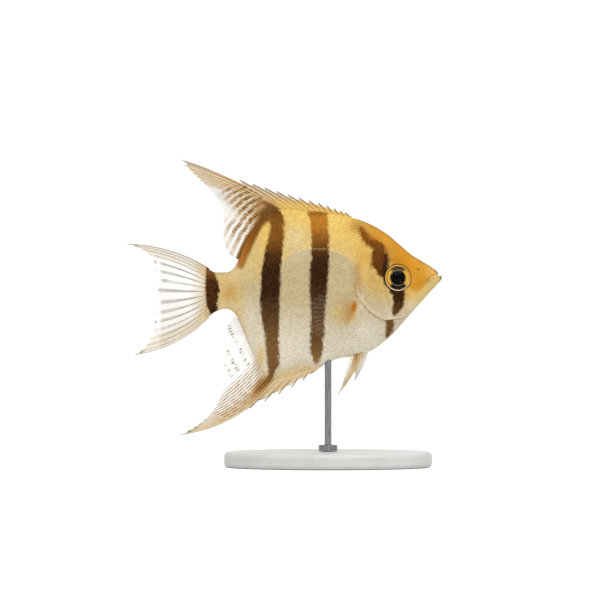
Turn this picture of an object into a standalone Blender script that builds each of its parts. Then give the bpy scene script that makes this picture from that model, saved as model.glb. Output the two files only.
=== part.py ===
"""Freshwater angelfish (Pterophyllum scalare), life size, swimming on a plain display stand.

+X runs to the snout, +Z up. The origin is the middle of the base's underside, below the rod.
The fish's own outlines are drawn in hundredths of its total length: x from the rod, z from the lowest fin tip.
"""

import math

import bmesh
import bpy
import numpy as np
from mathutils import Matrix, Vector

# Driving dimensions, in metres
TOTAL_LENGTH = 0.100
UNIT = TOTAL_LENGTH / 100
FIN_TIP_HEIGHT = 0.010
GAP = 0.0003
SLIT = GAP / UNIT

# Body outline in the side view, from the tail's root to the lips: (x, z)
BACK = [
    (-38.6, 53.6), (-35.5, 52.0), (-32.2, 52.0), (-30.2, 53.0), (-28.7, 55.6), (-26.7, 60.6), (-24.1, 64.9),
    (-21.0, 68.6), (-17.8, 71.1), (-14.3, 72.1), (-6.0, 71.7), (3.0, 70.4), (9.5, 68.9), (15.2, 66.4),
    (19.0, 64.0), (23.0, 60.6), (26.7, 57.5), (30.5, 55.2), (33.0, 54.0), (34.4, 52.9), (34.9, 51.7),
    (35.6, 51.2), (36.2, 50.4),
]
BELLY = [
    (-38.6, 36.6), (-35.5, 38.9), (-32.5, 39.7), (-30.6, 39.2), (-29.0, 37.6), (-27.6, 34.6), (-25.7, 29.8),
    (-23.5, 25.2), (-21.0, 20.6), (-19.2, 18.3), (-17.2, 17.9), (-9.0, 20.0), (-3.0, 21.8), (0.5, 23.3),
    (4.5, 24.6), (9.0, 25.1), (13.5, 26.7), (19.0, 30.6), (26.7, 39.0), (32.4, 45.4), (34.9, 48.1),
    (35.8, 49.1), (36.2, 49.9),
]
# Half of the body's width, seen from above: (x, half-width)
HALF_WIDTH = [
    (-38.6, 0.9), (-35.0, 1.5), (-30.0, 2.0), (-24.0, 2.9), (-16.0, 4.2), (-8.0, 5.4), (2.0, 6.3), (10.0, 6.5),
    (16.0, 6.0), (22.0, 4.8), (27.0, 3.6), (31.0, 2.7), (34.0, 1.9), (35.4, 1.3), (36.2, 0.5),
]
# How sharply a section runs out to the back and belly edges, where 1 is an ellipse: (x, power)
KEENNESS = [(-38.6, 1.0), (-28.0, 1.1), (-15.0, 1.35), (5.0, 1.3), (16.0, 1.2), (27.0, 1.0), (36.2, 1.0)]
# Level of a section's widest place, as a share of its height: (x, share)
WIDEST = [(-38.6, 0.5), (-15.0, 0.56), (8.0, 0.5), (22.0, 0.55), (30.0, 0.5), (36.2, 0.5)]

STATIONS = (
    list(np.linspace(-38.6, -31.0, 6)) + list(np.linspace(-29.9, -17.0, 12)) + list(np.linspace(-14.5, 20.0, 12))
    + list(np.linspace(22.4, 33.2, 6)) + [34.2, 34.9, 35.5, 36.0, 36.2]
)
AROUND = 24

# Cuts between the body's pieces, in the side view
TAIL_CUT = -30.0
GILL_EDGE = [
    (8.0, 76.0), (8.9, 59.0), (8.4, 50.0), (9.0, 45.0), (10.5, 42.0), (12.7, 39.4), (15.4, 37.5), (18.3, 36.5),
    (21.5, 36.2), (27.0, 36.0),
]
GILL_COVER = [
    (16.6, 52.6), (17.4, 48.2), (18.3, 44.8), (19.6, 41.2), (20.0, 38.4), (17.9, 38.0), (15.7, 39.0), (13.5, 40.8),
    (11.6, 43.2), (10.4, 46.2), (9.9, 50.0), (10.6, 54.0), (13.4, 54.6),
]
GILL_COVER_DEPTH = 1.3
GAPE = [(40.0, 51.3), (34.9, 51.1), (33.4, 50.9), (31.6, 49.3), (30.2, 47.3), (29.4, 44.0), (29.4, 38.0), (40.0, 38.0)]
GAPE_OPENING = 0.45

EYE_CENTRE = (22.2, 50.1)
EYE_RADIUS = 4.1
EYE_DOME = 1.35
EYE_DEPTH = 3.0
EYE_SINK = 0.25

# Fins. Thickness is across the fin; outer edges are (x, z) in the side view, from front to back
FIN_ROOT_THICKNESS = 1.1
FIN_RIM_THICKNESS = 0.62
WEB_SHARE = 0.84
LAST_SPINE_CLIMB = 0.45
DORSAL = {
    "spines": 12, "soft_rays": 24, "spine_roots": (6.4, -14.0), "soft_roots": (-15.0, -28.5),
    "spine_tips": [(5.3, 70.9), (-1.3, 73.4), (-11.5, 76.1), (-28.0, 81.1)], "spine_crowding": 1.35,
    "spine_bow": 0.45,
    "soft_tips": [
        (-46.9, 87.7), (-46.3, 86.2), (-43.0, 83.0), (-38.0, 78.4), (-34.6, 73.6), (-33.2, 69.0), (-33.4, 63.5),
        (-32.0, 58.6), (-30.2, 56.2),
    ],
    "soft_crowding": 0.9, "bow": (1.5, 0.3), "sway": -1.2, "rows": 4,
}
ANAL = {
    "spines": 6, "soft_rays": 26, "spine_roots": (-3.0, -16.2), "soft_roots": (-17.4, -28.9),
    "spine_tips": [(-5.6, 19.6), (-8.7, 17.2), (-16.0, 13.0), (-24.8, 8.7)], "spine_crowding": 1.2,
    "spine_bow": 0.0,
    "soft_tips": [
        (-47.9, 0.1), (-45.6, 1.2), (-40.4, 4.4), (-36.4, 8.4), (-34.2, 12.8), (-33.2, 18.0), (-32.9, 26.0),
        (-32.2, 33.0), (-31.0, 37.2),
    ],
    "soft_crowding": 0.62, "bow": (-4.0, -0.4), "sway": 1.0, "rows": 5,
}
TAIL_FIN = {
    "rays": 16, "root_x": -38.6,
    "tips": [
        (-64.0, 60.9), (-59.4, 59.2), (-56.8, 57.1), (-55.6, 53.3), (-55.2, 47.9), (-55.1, 43.1), (-55.3, 37.4),
        (-56.2, 32.6), (-58.1, 28.8), (-60.0, 26.9), (-62.1, 25.6),
    ],
    "bow": (1.9, -2.5), "sway": 1.4, "rows": 4,
}
BREAST_FIN = {
    "rays": 10, "root": [(8.3, 41.6), (7.6, 37.0)], "rise": (14.0, -33.0), "reach": [13.6, 16.4, 16.8, 15.6, 12.6],
    "splay": 27.0, "root_depth": 0.6, "rows": 4,
}
BELLY_FIN = {"rays": 6, "root": [(11.9, 27.2), (7.0, 26.2)], "root_y": 1.15, "splay": 7.0, "rows": 4}
RIGHT_BELLY_FIN = {"tips": [(2.6, 13.2), (4.4, 15.0), (5.9, 19.2)], "bow": (-2.0, -0.3)}
LEFT_BELLY_FIN = {"tips": [(7.8, 16.4), (8.2, 18.2), (7.2, 21.6)], "bow": (-1.0, -0.3)}

# Stand, in metres
BASE_LENGTH = 0.066
BASE_WIDTH = 0.040
BASE_HEIGHT = 0.005
BASE_EDGE = 0.0012
ROD_RADIUS = 0.0011
ROD_INTO_BASE = 0.0035
ROD_INTO_BELLY = 0.007
COLLAR_RADIUS = 0.0030
COLLAR_HEIGHT = 0.0018

# Colour, roughness, metallic
FINISHES = {
    "gold_skin": ((0.72, 0.45, 0.12), 0.40, 0.05),
    "silver_skin": ((0.78, 0.72, 0.56), 0.36, 0.10),
    "brown_band": ((0.16, 0.08, 0.03), 0.45, 0.0),
    "fin": ((0.80, 0.66, 0.48), 0.45, 0.0),
    "eye": ((0.10, 0.07, 0.02), 0.08, 0.0),
    "stand_paint": ((0.86, 0.86, 0.85), 0.45, 0.0),
    "steel": ((0.62, 0.63, 0.64), 0.28, 1.0),
}


# ------------------------------------------------------------------ curves and points


def smooth(knots):
    """The smooth curve through (at, value) knots that never overshoots them, as a function."""
    at, value = np.array(sorted(knots), float).T
    step = np.diff(at)
    rise = np.diff(value) / step
    slope = np.concatenate([[rise[0]], np.zeros(len(rise) - 1), [rise[-1]]])
    for i in range(1, len(rise)):
        if rise[i - 1] * rise[i] > 0:
            before, after = 2 * step[i] + step[i - 1], step[i] + 2 * step[i - 1]
            slope[i] = (before + after) / (before / rise[i - 1] + after / rise[i])

    def at_place(x):
        i = int(np.clip(np.searchsorted(at, x) - 1, 0, len(step) - 1))
        t = min(1.0, max(0.0, (x - at[i]) / step[i]))
        start = (1 + 2 * t) * (1 - t) ** 2 * value[i] + t * (1 - t) ** 2 * step[i] * slope[i]
        end = t * t * (3 - 2 * t) * value[i + 1] + t * t * (t - 1) * step[i] * slope[i + 1]
        return float(start + end)

    return at_place


def curve_through(points):
    """The smooth curve through points of the side view, as a function of the share of its length."""
    points = np.array(points, float)
    length = np.concatenate([[0], np.cumsum(np.linalg.norm(np.diff(points, axis=0), axis=1))])
    parts = [smooth(list(zip(length / length[-1], column))) for column in points.T]
    return lambda share: np.array([part(share) for part in parts])


back, belly, half_width, keenness, widest = map(smooth, (BACK, BELLY, HALF_WIDTH, KEENNESS, WIDEST))


def place(x, y, z):
    """A point of the fish as a point of the model, in metres."""
    return Vector((x * UNIT, y * UNIT, z * UNIT + FIN_TIP_HEIGHT))


def body_point(x, turn, swell=0.0):
    """The point of the body's surface in the section at x, with turn counted from the back edge."""
    top, bottom = back(x) + swell, belly(x) - swell
    level = bottom + (top - bottom) * widest(x)
    z = level + (top - level if math.cos(turn) > 0 else level - bottom) * math.cos(turn)
    lean = abs(math.sin(turn)) ** keenness(x)
    return x, math.copysign((half_width(x) + swell) * lean, math.sin(turn)), z


def side_of_body(x, z):
    """The body's half-width at a point of the side view."""
    top, bottom = back(x), belly(x)
    level = bottom + (top - bottom) * widest(x)
    rise = (z - level) / (top - level if z > level else level - bottom)
    return half_width(x) * math.sqrt(max(0.0, 1 - rise * rise)) ** keenness(x)


def side_normal(x, z, side):
    """The outward direction of the body's surface at a point of the side view; side is 1 for left, -1 for right."""
    small = 0.3
    along = (side_of_body(x + small, z) - side_of_body(x - small, z)) / (2 * small)
    up = (side_of_body(x, z + small) - side_of_body(x, z - small)) / (2 * small)
    return Vector((-along, side, -up)).normalized()


# ------------------------------------------------------------------ pieces and cutters


def clear_scene():
    for obj in list(bpy.data.objects):
        bpy.data.objects.remove(obj)


def collection(name):
    made = bpy.data.collections.new(name)
    bpy.context.scene.collection.children.link(made)
    return made


def finish(name):
    """The named material, made once."""
    material = bpy.data.materials.get(name)
    if material is None:
        colour, roughness, metallic = FINISHES[name]
        material = bpy.data.materials.new(name)
        material.use_nodes = True
        shader = material.node_tree.nodes["Principled BSDF"]
        shader.inputs["Base Color"].default_value = (*colour, 1.0)
        shader.inputs["Roughness"].default_value = roughness
        shader.inputs["Metallic"].default_value = metallic
    return material


def new_object(name, bm, group, material=None):
    """An object from a bmesh, with its faces turned outwards."""
    bmesh.ops.recalc_face_normals(bm, faces=bm.faces)
    if bm.calc_volume(signed=True) < 0:
        bmesh.ops.reverse_faces(bm, faces=bm.faces)
    mesh = bpy.data.meshes.new(name)
    bm.to_mesh(mesh)
    bm.free()
    obj = bpy.data.objects.new(name, mesh)
    group.objects.link(obj)
    if material:
        mesh.materials.append(finish(material))
        mesh.shade_smooth()
    else:
        obj.hide_render = True
        obj.display_type = "WIRE"
    return obj


def body_loft(swell=0.0, stations=STATIONS):
    """The closed body through its sections, grown by swell all round."""
    bm = bmesh.new()
    rings = []
    ends = {stations[0]: -swell, stations[-1]: swell}
    for x in stations:
        ring = []
        for i in range(AROUND):
            _, y, z = body_point(x, 2 * math.pi * i / AROUND, swell)
            ring.append(bm.verts.new(place(x + ends.get(x, 0.0), y, z)))
        rings.append(ring)
    for ring, following in zip(rings, rings[1:]):
        for i in range(AROUND):
            bm.faces.new((ring[i - 1], ring[i], following[i], following[i - 1]))
    bm.faces.new(rings[0])
    bm.faces.new(rings[-1])
    return bm


def prism(outline, y_from, y_to):
    """A side-view outline as a solid from y_from to y_to."""
    bm = bmesh.new()
    face = bm.faces.new([bm.verts.new(place(x, y_from, z)) for x, z in outline])
    grown = bmesh.ops.extrude_face_region(bm, geom=[face])
    corners = [v for v in grown["geom"] if isinstance(v, bmesh.types.BMVert)]
    bmesh.ops.translate(bm, verts=corners, vec=(0, (y_to - y_from) * UNIT, 0))
    return bm


def eye_ball(side, swell=0.0):
    """An eye: a low dome outside, a deeper bowl inside, facing along the head's surface."""
    x, z = EYE_CENTRE
    bm = bmesh.new()
    bmesh.ops.create_uvsphere(bm, u_segments=16, v_segments=11, radius=1.0)
    for vertex in bm.verts:
        depth = EYE_DOME if vertex.co.z > 0 else EYE_DEPTH
        vertex.co.x *= (EYE_RADIUS + swell) * UNIT
        vertex.co.y *= (EYE_RADIUS + swell) * UNIT
        vertex.co.z *= (depth + swell) * UNIT
    facing = side_normal(x, z, side)
    seat = place(x, side * (side_of_body(x, z) - EYE_SINK), z)
    bm.transform(Matrix.Translation(seat) @ facing.to_track_quat("Z", "Y").to_matrix().to_4x4())
    return bm


def cylinder(radius, z_from, z_to, segments=16):
    """An upright cylinder on the stand's axis, in metres."""
    bm = bmesh.new()
    bmesh.ops.create_cone(
        bm, cap_ends=True, segments=segments, radius1=radius, radius2=radius, depth=z_to - z_from,
        matrix=Matrix.Translation((0, 0, (z_from + z_to) / 2)),
    )
    return bm


def boolean(obj, cutter, operation="DIFFERENCE"):
    modifier = obj.modifiers.new(cutter.name, "BOOLEAN")
    modifier.object = cutter
    modifier.operation = operation
    modifier.solver = "EXACT"


def grown(outline, by):
    """A convex-ish outline moved outwards by a width."""
    middle = Vector(np.mean(outline, axis=0))
    moved = []
    for i, point in enumerate(outline):
        along = Vector(outline[(i + 1) % len(outline)]) - Vector(outline[i - 1])
        out = Vector((along.y, -along.x)).normalized()
        if out.dot(Vector(point) - middle) < 0:
            out = -out
        moved.append(tuple(Vector(point) + out * by))
    return moved


# ------------------------------------------------------------------ fins


def ray_points(ray, rows):
    """Points along a fin ray, root first. It bows in the side view and drifts sideways towards its tip."""
    root, tip = ray["root"], ray["tip"]
    chord = tip - root
    across = Vector((-chord.z, 0, chord.x)).normalized()
    if across.z < 0:
        across = -across
    points = []
    for row in range(rows + 1):
        t = row / rows
        point = root + chord * t + across * (ray["bow"] * 4 * t * (1 - t))
        point.y = root.y + chord.y * (t * t if ray["drifts"] else t)
        points.append(point)
    return points


def with_webs(rays, notch):
    """The rays, with the thinner skin between each two, which stops short of a spine's tip by the notch.

    The last spine is tied to the long ray behind it without a column of its own between them.
    """
    columns = [rays[0]]
    for ray, following in zip(rays, rays[1:]):
        if ray["kind"] == following["kind"]:
            root = (ray["root"] + following["root"]) / 2
            tip = (ray["tip"] + following["tip"]) / 2
            share = notch if ray["kind"] == "spine" else 0.0
            columns.append({
                "root": root, "tip": tip + (root - tip) * share, "bow": (ray["bow"] + following["bow"]) / 2,
                "drifts": ray["drifts"], "kind": "web",
            })
        columns.append(following)
    return columns


def fin(name, rays, group, rows, notch=0.0):
    """A fin as one sheet over its rays and webs, thick at the root and thin at the rim."""
    bm = bmesh.new()
    grid, thickness = [], []
    columns = with_webs(rays, notch)
    for column in columns:
        grid.append([bm.verts.new(place(*point)) for point in ray_points(column, rows)])
        for row in range(rows + 1):
            thick = FIN_ROOT_THICKNESS + (FIN_RIM_THICKNESS - FIN_ROOT_THICKNESS) * row / rows
            thickness.append(thick * (WEB_SHARE if column["kind"] == "web" else 1.0) / FIN_ROOT_THICKNESS)
    for i in range(len(columns) - 1):
        climb = 1.0
        if columns[i]["kind"] == "spine" and columns[i + 1]["kind"] == "ray":
            climb = LAST_SPINE_CLIMB
        steps = [round(row * climb) for row in range(rows + 1)]
        for row in range(rows):
            corners = [grid[i][row], grid[i][row + 1], grid[i + 1][steps[row + 1]], grid[i + 1][steps[row]]]
            bm.faces.new(corners if steps[row] < steps[row + 1] else corners[:3])
    obj = new_object(name, bm, group, "fin")
    weights = obj.vertex_groups.new(name="thickness")
    for index, weight in enumerate(thickness):
        weights.add([index], weight, "REPLACE")
    shell = obj.modifiers.new("thickness", "SOLIDIFY")
    shell.thickness = FIN_ROOT_THICKNESS * UNIT
    shell.offset = 0.0
    shell.vertex_group = weights.name
    shell.thickness_vertex_group = 0.0
    return obj


def edge_roots(profile, x_from, x_to, outwards):
    """Points just off the body's edge between two stations, as a function of the share of their length."""
    points = []
    for x in np.linspace(x_from, x_to, 40):
        small = 0.1
        along = Vector((2 * small, profile(x + small) - profile(x - small))).normalized()
        points.append(Vector((x, profile(x))) + Vector((-along.y, along.x)) * outwards)
    return curve_through(points)


def median_fin(name, fin_plan, profile, outwards, group):
    """The dorsal or the anal fin: short spines in front, long soft rays behind."""
    spine_roots = edge_roots(profile, *fin_plan["spine_roots"], outwards)
    soft_roots = edge_roots(profile, *fin_plan["soft_roots"], outwards)
    spine_tips, soft_tips = curve_through(fin_plan["spine_tips"]), curve_through(fin_plan["soft_tips"])
    front_bow, rear_bow = fin_plan["bow"]
    rays = []
    for i in range(fin_plan["spines"]):
        t = i / (fin_plan["spines"] - 1)
        root, tip = spine_roots(t), spine_tips(t ** fin_plan["spine_crowding"])
        rays.append({"root": root, "tip": tip, "bow": fin_plan["spine_bow"] * t, "sway": 0.0, "kind": "spine"})
    for i in range(fin_plan["soft_rays"]):
        t = i / (fin_plan["soft_rays"] - 1)
        root, tip = soft_roots(t), soft_tips(t ** fin_plan["soft_crowding"])
        bow = front_bow + (rear_bow - front_bow) * t
        rays.append({"root": root, "tip": tip, "bow": bow, "sway": fin_plan["sway"] * (1 - t), "kind": "ray"})
    for ray in rays:
        ray["root"] = Vector((ray["root"][0], 0.0, ray["root"][1]))
        ray["tip"] = Vector((ray["tip"][0], ray["sway"], ray["tip"][1]))
        ray["drifts"] = True
    return fin(name, rays, group, fin_plan["rows"], notch=0.2)


def tail_fin(group):
    """The caudal fin, with a curved fork and both lobes drawn out."""
    x = TAIL_FIN["root_x"] - SLIT
    top, bottom = back(TAIL_FIN["root_x"]) - 0.3, belly(TAIL_FIN["root_x"]) + 0.3
    tips = curve_through(TAIL_FIN["tips"])
    upper_bow, lower_bow = TAIL_FIN["bow"]
    rays = []
    for i in range(TAIL_FIN["rays"]):
        t = i / (TAIL_FIN["rays"] - 1)
        spread = 0.5 + 0.5 * math.copysign(abs(2 * t - 1) ** 0.85, 2 * t - 1)
        tip_x, tip_z = tips(spread)
        rays.append({
            "root": Vector((x, 0.0, top + (bottom - top) * t)),
            "tip": Vector((tip_x, TAIL_FIN["sway"] * math.cos(math.pi * t), tip_z)),
            "bow": upper_bow + (lower_bow - upper_bow) * t, "drifts": True, "kind": "ray",
        })
    return fin("caudal_fin", rays, group, TAIL_FIN["rows"])


def breast_fin(name, side, group):
    """A pectoral fin: a fan behind the gill cover, held out from the flank."""
    root_line = curve_through(BREAST_FIN["root"])
    reach = smooth(list(enumerate(BREAST_FIN["reach"])))
    rise_top, rise_bottom = BREAST_FIN["rise"]
    splay = math.radians(BREAST_FIN["splay"])
    rays = []
    for i in range(BREAST_FIN["rays"]):
        t = i / (BREAST_FIN["rays"] - 1)
        x, z = root_line(t)
        root = Vector((x, side * (side_of_body(x, z) - BREAST_FIN["root_depth"]), z))
        rise = math.radians(rise_top + (rise_bottom - rise_top) * t)
        direction = Vector((-math.cos(rise) * math.cos(splay), side * math.sin(splay), math.sin(rise)))
        tip = root + direction.normalized() * reach(t * (len(BREAST_FIN["reach"]) - 1))
        rays.append({"root": root, "tip": tip, "bow": 0.0, "drifts": False, "kind": "ray"})
    return fin(name, rays, group, BREAST_FIN["rows"])


def belly_fin(name, side, blade, group):
    """A pelvic fin: a narrow blade below the breast, swept back."""
    root_line, tip_line = curve_through(BELLY_FIN["root"]), curve_through(blade["tips"])
    front_bow, rear_bow = blade["bow"]
    lean = math.tan(math.radians(BELLY_FIN["splay"]))
    rays = []
    for i in range(BELLY_FIN["rays"]):
        t = i / (BELLY_FIN["rays"] - 1)
        x, z = root_line(t)
        tip_x, tip_z = tip_line(t)
        rays.append({
            "root": Vector((x, side * BELLY_FIN["root_y"], z)),
            "tip": Vector((tip_x, side * (BELLY_FIN["root_y"] + lean * (z - tip_z)), tip_z)),
            "bow": front_bow + (rear_bow - front_bow) * t, "drifts": False, "kind": "ray",
        })
    return fin(name, rays, group, BELLY_FIN["rows"])


# ------------------------------------------------------------------ the model


def build_body(group, cutters):
    """Head, lower jaw, gill covers, trunk and tail: one body parted by thin cuts."""
    head_side = [(x + SLIT, z + SLIT) for x, z in GILL_EDGE]
    gill_cut = new_object("gill_cut", prism(GILL_EDGE + [(60, 36), (60, 76)], -20, 20), cutters)
    head_cut = new_object("head_cut", prism(head_side + [(60, 36 + SLIT), (60, 76)], -20, 20), cutters)
    tail_cut = new_object("tail_cut", prism([(-60, 0), (TAIL_CUT, 0), (TAIL_CUT, 90), (-60, 90)], -20, 20), cutters)
    past_tail = [(-60, 0), (TAIL_CUT + SLIT, 0), (TAIL_CUT + SLIT, 90), (-60, 90)]
    trunk_end = new_object("trunk_end", prism(past_tail, -20, 20), cutters)
    jaw_cut = new_object("jaw_cut", prism(GAPE, -20, 20), cutters)
    mouth = [(x - SLIT, z + GAPE_OPENING * (1 if x > 34 else 0.6)) for x, z in GAPE[:5]]
    throat = [(x - SLIT, z) for x, z in GAPE[5:7]]
    mouth_cut = new_object("mouth_cut", prism(mouth + throat + [(40, 38)], -20, 20), cutters)
    belly_z = place(0, 0, belly(0)).z
    socket = cylinder(ROD_RADIUS + GAP, belly_z - 0.004, belly_z + ROD_INTO_BELLY + GAP)
    rod_socket = new_object("rod_socket", socket, cutters)

    tail = new_object("tail", body_loft(), group, "silver_skin")
    boolean(tail, tail_cut, "INTERSECT")
    trunk = new_object("trunk", body_loft(), group, "silver_skin")
    for cutter in (trunk_end, gill_cut, rod_socket):
        boolean(trunk, cutter)
    head = new_object("head", body_loft(), group, "gold_skin")
    boolean(head, head_cut, "INTERSECT")
    boolean(head, mouth_cut)
    jaw = new_object("lower_jaw", body_loft(), group, "silver_skin")
    boolean(jaw, jaw_cut, "INTERSECT")

    near_gills = [x for x in STATIONS if 4 < x < 27]
    cover_core = new_object("cover_core", body_loft(-GILL_COVER_DEPTH, near_gills), cutters)
    head_core = new_object("head_core", body_loft(-GILL_COVER_DEPTH - SLIT, near_gills), cutters)
    for name, side in (("left", 1), ("right", -1)):
        ends = sorted((side * 0.5, side * 20))
        cover = new_object("gill_cover_" + name, body_loft(), group, "silver_skin")
        boolean(cover, new_object("cover_cut_" + name, prism(GILL_COVER, *ends), cutters), "INTERSECT")
        boolean(cover, cover_core)
        recess = new_object("recess_" + name, prism(grown(GILL_COVER, SLIT), *ends), cutters)
        boolean(recess, head_core)
        boolean(head, recess)
        boolean(head, new_object("orbit_" + name, eye_ball(side, SLIT), cutters))
        new_object("eye_" + name, eye_ball(side), group, "eye")


def build_fins(group, cutters):
    """The five kinds of fin. The paired ones are cut back to the body's surface."""
    median_fin("dorsal_fin", DORSAL, back, SLIT + 0.1, group)
    median_fin("anal_fin", ANAL, belly, -SLIT - 0.1, group)
    tail_fin(group)
    clearance = new_object("clearance", body_loft(SLIT), cutters)
    for name, side, blade in (("left", 1, LEFT_BELLY_FIN), ("right", -1, RIGHT_BELLY_FIN)):
        boolean(breast_fin("pectoral_fin_" + name, side, group), clearance)
        boolean(belly_fin("pelvic_fin_" + name, side, blade, group), clearance)


def build_stand(group, cutters):
    """An oval base, a rod that plugs into the belly, and a collar round the rod's foot."""
    base_bm = cylinder(0.5, 0, BASE_HEIGHT, segments=44)
    bmesh.ops.scale(base_bm, vec=(BASE_LENGTH, BASE_WIDTH, 1), verts=base_bm.verts)
    base = new_object("stand_base", base_bm, group, "stand_paint")
    edge = base.modifiers.new("edge", "BEVEL")
    edge.width = BASE_EDGE
    edge.segments = 2
    rod_foot = BASE_HEIGHT - ROD_INTO_BASE
    hole = new_object("rod_hole", cylinder(ROD_RADIUS + GAP, rod_foot - GAP, BASE_HEIGHT + 0.01), cutters)
    boolean(base, hole)
    rod_top = place(0, 0, belly(0)).z + ROD_INTO_BELLY
    new_object("stand_rod", cylinder(ROD_RADIUS, rod_foot, rod_top), group, "steel")
    collar_bm = cylinder(COLLAR_RADIUS, BASE_HEIGHT + GAP, BASE_HEIGHT + GAP + COLLAR_HEIGHT, segments=24)
    collar = new_object("stand_collar", collar_bm, group, "steel")
    boolean(collar, hole)


def main():
    clear_scene()
    group, cutters = collection("angelfish"), collection("cutters")
    cutters.hide_render = True
    build_body(group, cutters)
    build_fins(group, cutters)
    build_stand(group, cutters)


main()
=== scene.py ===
import math

import bpy
import numpy as np
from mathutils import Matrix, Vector


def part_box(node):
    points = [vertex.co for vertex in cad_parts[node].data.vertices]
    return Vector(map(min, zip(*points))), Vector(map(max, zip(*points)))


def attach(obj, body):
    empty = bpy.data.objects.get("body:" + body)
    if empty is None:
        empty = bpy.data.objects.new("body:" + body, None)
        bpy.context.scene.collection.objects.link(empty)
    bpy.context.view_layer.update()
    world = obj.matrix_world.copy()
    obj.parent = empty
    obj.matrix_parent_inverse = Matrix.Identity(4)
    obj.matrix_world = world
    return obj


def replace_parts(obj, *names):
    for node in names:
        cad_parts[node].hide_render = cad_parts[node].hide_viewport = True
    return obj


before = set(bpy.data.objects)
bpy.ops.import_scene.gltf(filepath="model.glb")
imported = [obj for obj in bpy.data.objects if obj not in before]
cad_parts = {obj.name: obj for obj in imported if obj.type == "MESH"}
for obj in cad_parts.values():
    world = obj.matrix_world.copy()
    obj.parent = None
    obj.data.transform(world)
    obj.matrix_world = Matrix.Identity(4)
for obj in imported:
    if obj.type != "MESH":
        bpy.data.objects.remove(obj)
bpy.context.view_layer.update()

# the fish is drawn in its own measures: x from the rod, z from the lowest fin tip, 100 to a total length
trunkLow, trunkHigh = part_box("trunk")
rodLow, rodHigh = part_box("stand_rod")
trunkDepth = 54.2
trunkTop = 72.1
measure = (trunkHigh.z - trunkLow.z) / trunkDepth
origin = np.array([(rodLow.x + rodHigh.x) / 2, 0.0, trunkHigh.z - trunkTop * measure])


def toModel(points):
    return np.asarray(points, float) * measure + origin


def smoothCurve(knots):
    at, value = np.array(sorted(knots), float).T
    step = np.diff(at)
    rise = np.diff(value) / step
    slope = np.zeros(len(at))
    slope[0], slope[-1] = rise[0], rise[-1]
    for i in range(1, len(rise)):
        if rise[i - 1] * rise[i] > 0:
            before, after = 2 * step[i] + step[i - 1], step[i] + 2 * step[i - 1]
            slope[i] = (before + after) / (before / rise[i - 1] + after / rise[i])

    def valueAt(x):
        x = np.asarray(x, float)
        i = np.clip(np.searchsorted(at, x) - 1, 0, len(step) - 1)
        t = np.clip((x - at[i]) / step[i], 0, 1)
        start = (1 + 2 * t) * (1 - t) ** 2 * value[i] + t * (1 - t) ** 2 * step[i] * slope[i]
        end = t * t * (3 - 2 * t) * value[i + 1] + t * t * (t - 1) * step[i] * slope[i + 1]
        return start + end

    return valueAt


def curveThrough(points):
    points = np.array(points, float)
    length = np.concatenate([[0], np.cumsum(np.linalg.norm(np.diff(points, axis=0), axis=1))])
    parts = [smoothCurve(list(zip(length / length[-1], column))) for column in points.T]
    return lambda share: np.stack([part(share) for part in parts], axis=-1)


def ramp(value, low, high):  # 0 below low, 1 above high, smooth between
    t = np.clip((value - low) / (high - low), 0, 1)
    return t * t * (3 - 2 * t)


def bump(value, width):
    return np.exp(-(value / width) ** 2)


def nearest(line, x, z, samples=90):
    # distance to a side-view line, the share of its length, and the side that the point is on
    spots = curveThrough(line)(np.linspace(0, 1, samples))
    flat = np.stack([np.ravel(x), np.ravel(z)], axis=-1)
    distance, share, side = [], [], []
    along = np.gradient(spots, axis=0)
    for chunk in np.array_split(flat, max(1, len(flat) // 20000)):
        gap = chunk[:, None, :] - spots[None, :, :]
        far = np.hypot(gap[..., 0], gap[..., 1])
        k = far.argmin(axis=1)
        rows = np.arange(len(k))
        distance.append(far[rows, k])
        share.append(k / (samples - 1))
        turn = along[k, 0] * gap[rows, k, 1] - along[k, 1] * gap[rows, k, 0]
        side.append(np.sign(turn))
    shape = np.shape(x)
    return [np.concatenate(part).reshape(shape) for part in (distance, share, side)]


def between(pair, share):
    return pair[0] + (pair[1] - pair[0]) * share


def ends(share, fade=0.12):  # 1 along a line, falling to 0 at both ends
    return ramp(share, 0, fade) * ramp(1 - share, 0, fade)


def airbrush(x, z, touches):
    # soft round touches: (x, z, radius along, radius up, strength)
    total = np.zeros(np.shape(x))
    for atX, atZ, wide, tall, strength in touches:
        total = total + strength * np.exp(-((x - atX) / wide) ** 2 - ((z - atZ) / tall) ** 2)
    return total


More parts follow.
